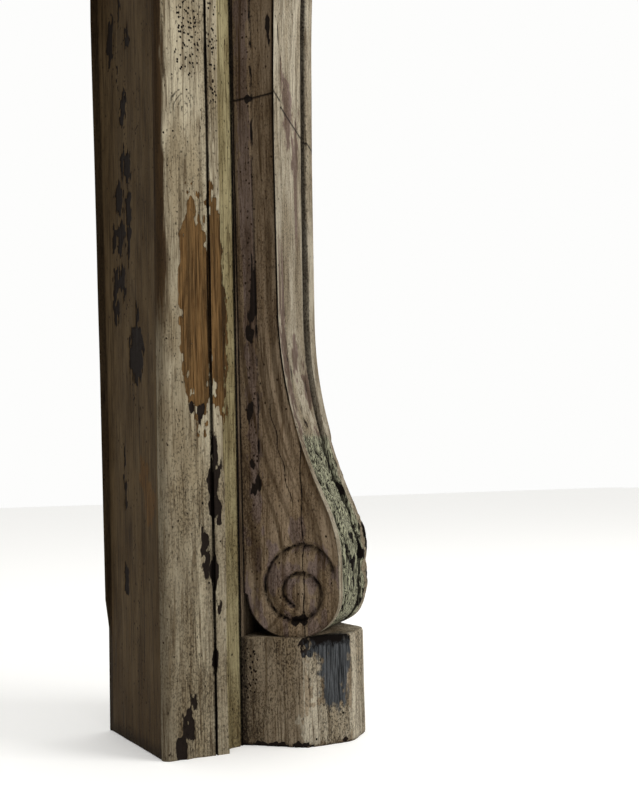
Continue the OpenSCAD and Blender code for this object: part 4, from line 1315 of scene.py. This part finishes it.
def build_shelf():
    """The serpentine shelf: a cove and a rounded nosing under a flat top."""
    f = sizes("mantel_frieze")
    bed_h, bed_in, bed_cove, nosing_in, ledge = 6, 22, 14, 4, 1
    thick = MANTEL_H - TOP_Z
    nosing_r = (thick - bed_h - bed_cove - 2 * ledge) / 2
    cove = arc((bed_h, bed_in - bed_cove), bed_cove, 90, 0, 8)[1:]
    nose = arc((0, 0), 1, -80, 80, 16)
    section = [(0, bed_in), (2, bed_in), (4, bed_in), (bed_h, bed_in)] + [(q[0], q[1]) for q in cove]
    section.append((bed_h + bed_cove + ledge, nosing_in + ledge))
    section += [(thick - nosing_r * (1 - q[1]), nosing_in * (1 - q[0])) for q in nose]
    section.append((thick, nosing_in + ledge))
    # the top runs in from the edge, so that its wear has points to sit on
    section += [(thick - 0.01, nosing_in + ledge + k * 9.0) for k in range(1, 8)]
    rings = []
    for height, inset in section:
        right = shelf_front_line(f, inset)
        side_y = np.linspace(right[-1][1], JAMB_D, 10)[1:]
        right = np.concatenate([right, [(HALF_SHELF - inset, y) for y in side_y]])
        back = [(x, JAMB_D) for x in np.linspace(HALF_SHELF - inset, inset - HALF_SHELF, 24)[1:-1]]
        left = right[::-1] * (-1, 1)
        ring = np.concatenate([right, back, left[:-1]])
        rings.append(np.column_stack([ring[:, 0], ring[:, 1], np.full(len(ring), TOP_Z + height)]))
    p = np.array(rings) + (0, FACE_Y, 0)
    m = blank_marks(p.shape[:2])
    rise = p[..., 2] - TOP_Z
    ragged = grain(p, (10, 10, 6), 71, 3) * 4
    places = scattered(72, 40, (-730, 730), (0, thick), (4, 16), (1.5, 5))
    worn = spots(p[..., 0], rise, places, ragged * 0.7)
    shown = ramp(JAMB_D + FACE_Y - p[..., 1], 0.5, 4)
    inset = np.array([q[1] for q in section])[:, None]
    worn = np.where((inset > nosing_in + 8) & (rise > thick / 2), -9, worn)
    m.chip = as_mask(worn) * shown
    m.stain = 0.14 + 0.16 * ramp(rise, thick - 3, thick)
    # painted shade along both edges of the cove under the nosing
    m.dirt = 0.6 * ramp(np.abs(rise - bed_h), 2.4, 0.6)
    m.dirt = m.dirt + 0.5 * ramp(np.abs(rise - bed_h - bed_cove), 2.0, 0.4)
    m.worm = 0.3 * ramp(grain(p, (80, 40, 20), 73), 0.1, 0.6)
    m.bare = as_mask(grain(p, (90, 30, 30), 74) * 6 - 3.4) * ramp(rise, thick - 4, thick)
    sink = (0.7 * sunk_in(worn) + 0.4 + 0.3 * grain(p, (160, 40, 30), 75)) * shown
    p -= outward(p) * (sink * ramp(rise, thick + 0.1, thick - 2))[..., None]
    p[..., 2] = np.minimum(p[..., 2], MANTEL_H)
    return tube("shelf_worn", p, vars(m), "shelf", paint_of("cream_paint_on_level_boards"))


# ---- operators ----
class MANTEL_OT_stage(bpy.types.Operator):
    """Make the floor, the soft light and the camera"""

    bl_idname = "mantel.stage"
    bl_label = "Stage, Light and Camera"

    def execute(self, context):
        build_floor()
        build_light()
        build_camera()
        return {"FINISHED"}


class MANTEL_OT_jambs(bpy.types.Operator):
    """Make the stiles, reveals and returns of both jambs"""

    bl_idname = "mantel.jambs"
    bl_label = "Jamb Boards"

    def execute(self, context):
        for style in (RIGHT, LEFT):
            build_stile(style)
            build_reveal(style)
            build_return(style)
        return {"FINISHED"}


class MANTEL_OT_plinths(bpy.types.Operator):
    """Make the canted plinths"""

    bl_idname = "mantel.plinths"
    bl_label = "Plinths"

    def execute(self, context):
        for style in (RIGHT, LEFT):
            build_plinth(style)
        return {"FINISHED"}


class MANTEL_OT_consoles(bpy.types.Operator):
    """Make the carved consoles, the right one in its two grafted parts"""

    bl_idname = "mantel.consoles"
    bl_label = "Consoles"

    def execute(self, context):
        graft_z = sizes("mantel_console").graft_z
        build_console(RIGHT, "lower", "right_console_lower", PLINTH_H, graft_z)
        build_console(RIGHT, "upper", "right_console_upper", graft_z, TOP_Z)
        build_console(LEFT, "whole", "left_console", PLINTH_H, TOP_Z)
        return {"FINISHED"}


class MANTEL_OT_frieze(bpy.types.Operator):
    """Make the serpentine frieze"""

    bl_idname = "mantel.frieze"
    bl_label = "Frieze"

    def execute(self, context):
        build_frieze()
        return {"FINISHED"}


class MANTEL_OT_shelf(bpy.types.Operator):
    """Make the moulded shelf"""

    bl_idname = "mantel.shelf"
    bl_label = "Shelf"

    def execute(self, context):
        build_shelf()
        return {"FINISHED"}


class MANTEL_PT_panel(bpy.types.Panel):
    """The mantelpiece's pieces, in the order they are made"""

    bl_idname = "MANTEL_PT_panel"
    bl_label = "Mantelpiece"
    bl_space_type = "VIEW_3D"
    bl_region_type = "UI"
    bl_category = "Mantelpiece"

    def draw(self, context):
        for operator in OPERATORS:
            self.layout.operator(operator.bl_idname)
        for name in GROUPS:
            group = getattr(context.scene, name)
            box = self.layout.box()
            for key in group.__annotations__:
                box.prop(group, key)


# ---- stage ----
def build_floor():
    """A plain pale floor that runs well past the object."""
    mesh = bpy.data.meshes.new("floor")
    reach = 9.0
    mesh.from_pydata([(-reach, -reach, 0), (reach, -reach, 0), (reach, reach, 0), (-reach, reach, 0)],
                     [], [(0, 1, 2, 3)])
    floor = bpy.data.objects.new("floor", mesh)
    bpy.context.scene.collection.objects.link(floor)
    # matt pale paint: flat and even, so that it reads as plain ground
    material = bpy.data.materials.new("matt_pale_floor")
    material.use_nodes = True
    shader = material.node_tree.nodes["Principled BSDF"]
    shader.inputs["Base Color"].default_value = (*linear("f4f3f0"), 1)
    shader.inputs["Roughness"].default_value = 0.95
    shader.inputs["Emission Color"].default_value = (1, 1, 1, 1)
    shader.inputs["Emission Strength"].default_value = 0.16
    mesh.materials.append(material)


def build_light():
    """A bright room, a broad key from the right in front and a weaker light from above."""
    world = bpy.data.worlds.new("pale_room")
    bpy.context.scene.world = world
    world.use_nodes = True
    tree = world.node_tree
    facing = add(tree, "ShaderNodeTexCoord", out="Generated")
    # brightest behind and to the right of the object, about a fifth as bright in front on its left
    brightest = (0.62, 0.70, 0.35)
    toward = add(tree, "ShaderNodeVectorMath", (facing, brightest), "Value", operation="DOT_PRODUCT")
    strength = add(tree, RANGE, (toward, -0.9, 0.55, 0.22, 1.0))
    background = tree.nodes["Background"]
    background.inputs["Color"].default_value = (*linear("fdfdfc"), 1)
    tree.links.new(strength, background.inputs["Strength"])
    bpy.context.scene.view_settings.view_transform = "Standard"
    jamb = Vector((0.58, -0.05, 0.4))
    for name, place, size, watts in (
        ("key", (2.6, -2.4, 2.0), 1.6, 70.0),
        ("top", (0.2, -1.6, 3.2), 2.0, 25.0),
    ):
        light = bpy.data.lights.new(name, "AREA")
        light.size, light.energy = size, watts
        lamp = bpy.data.objects.new(name, light)
        lamp.location = place
        lamp.rotation_euler = (jamb - Vector(place)).to_track_quat("-Z", "Y").to_euler()
        bpy.context.scene.collection.objects.link(lamp)


def build_camera():
    """A camera low beside the right jamb, looking across its corner."""
    place = Vector((0.1342, -1.0345, 0.2538))
    yaw, pitch, roll = 0.486, 0.06, -0.022
    ahead = Vector((math.sin(yaw) * math.cos(pitch), math.cos(yaw) * math.cos(pitch), math.sin(pitch)))
    right = Vector((math.cos(yaw), -math.sin(yaw), 0))
    up = right.cross(ahead)
    turned_right = math.cos(roll) * right + math.sin(roll) * up
    turned_up = math.cos(roll) * up - math.sin(roll) * right
    data = bpy.data.cameras.new("camera")
    data.lens = 53.0
    data.clip_start = 0.05
    camera = bpy.data.objects.new("camera", data)
    axes = Matrix((turned_right, turned_up, -ahead)).transposed()
    camera.matrix_world = Matrix.Translation(place) @ axes.to_4x4()
    bpy.context.scene.collection.objects.link(camera)
    bpy.context.scene.camera = camera


OPERATORS = (
    MANTEL_OT_stage, MANTEL_OT_jambs, MANTEL_OT_plinths,
    MANTEL_OT_consoles, MANTEL_OT_frieze, MANTEL_OT_shelf,
)
GROUPS = {
    "mantel_architrave": ArchitraveSizes,
    "mantel_console": ConsoleSizes,
    "mantel_frieze": FriezeSizes,
    "mantel_wear": WearSizes,
    "mantel_paint": PaintColours,
}


def register():
    """Registers the property groups, the operators and the panel."""
    for group in GROUPS.values():
        bpy.utils.register_class(group)
    for name, group in GROUPS.items():
        setattr(bpy.types.Scene, name, PointerProperty(type=group))
    for operator in (*OPERATORS, MANTEL_PT_panel):
        bpy.utils.register_class(operator)


def unregister():
    """Takes all of them away again."""
    for operator in reversed((*OPERATORS, MANTEL_PT_panel)):
        bpy.utils.unregister_class(operator)
    for name in GROUPS:
        delattr(bpy.types.Scene, name)
    for group in reversed(GROUPS.values()):
        bpy.utils.unregister_class(group)


def main():
    """Makes every piece and the stage."""
    register()
    bpy.ops.mantel.stage()
    bpy.ops.mantel.jambs()
    bpy.ops.mantel.plinths()
    bpy.ops.mantel.consoles()
    bpy.ops.mantel.frieze()
    bpy.ops.mantel.shelf()


if __name__ == "__main__":
    main()
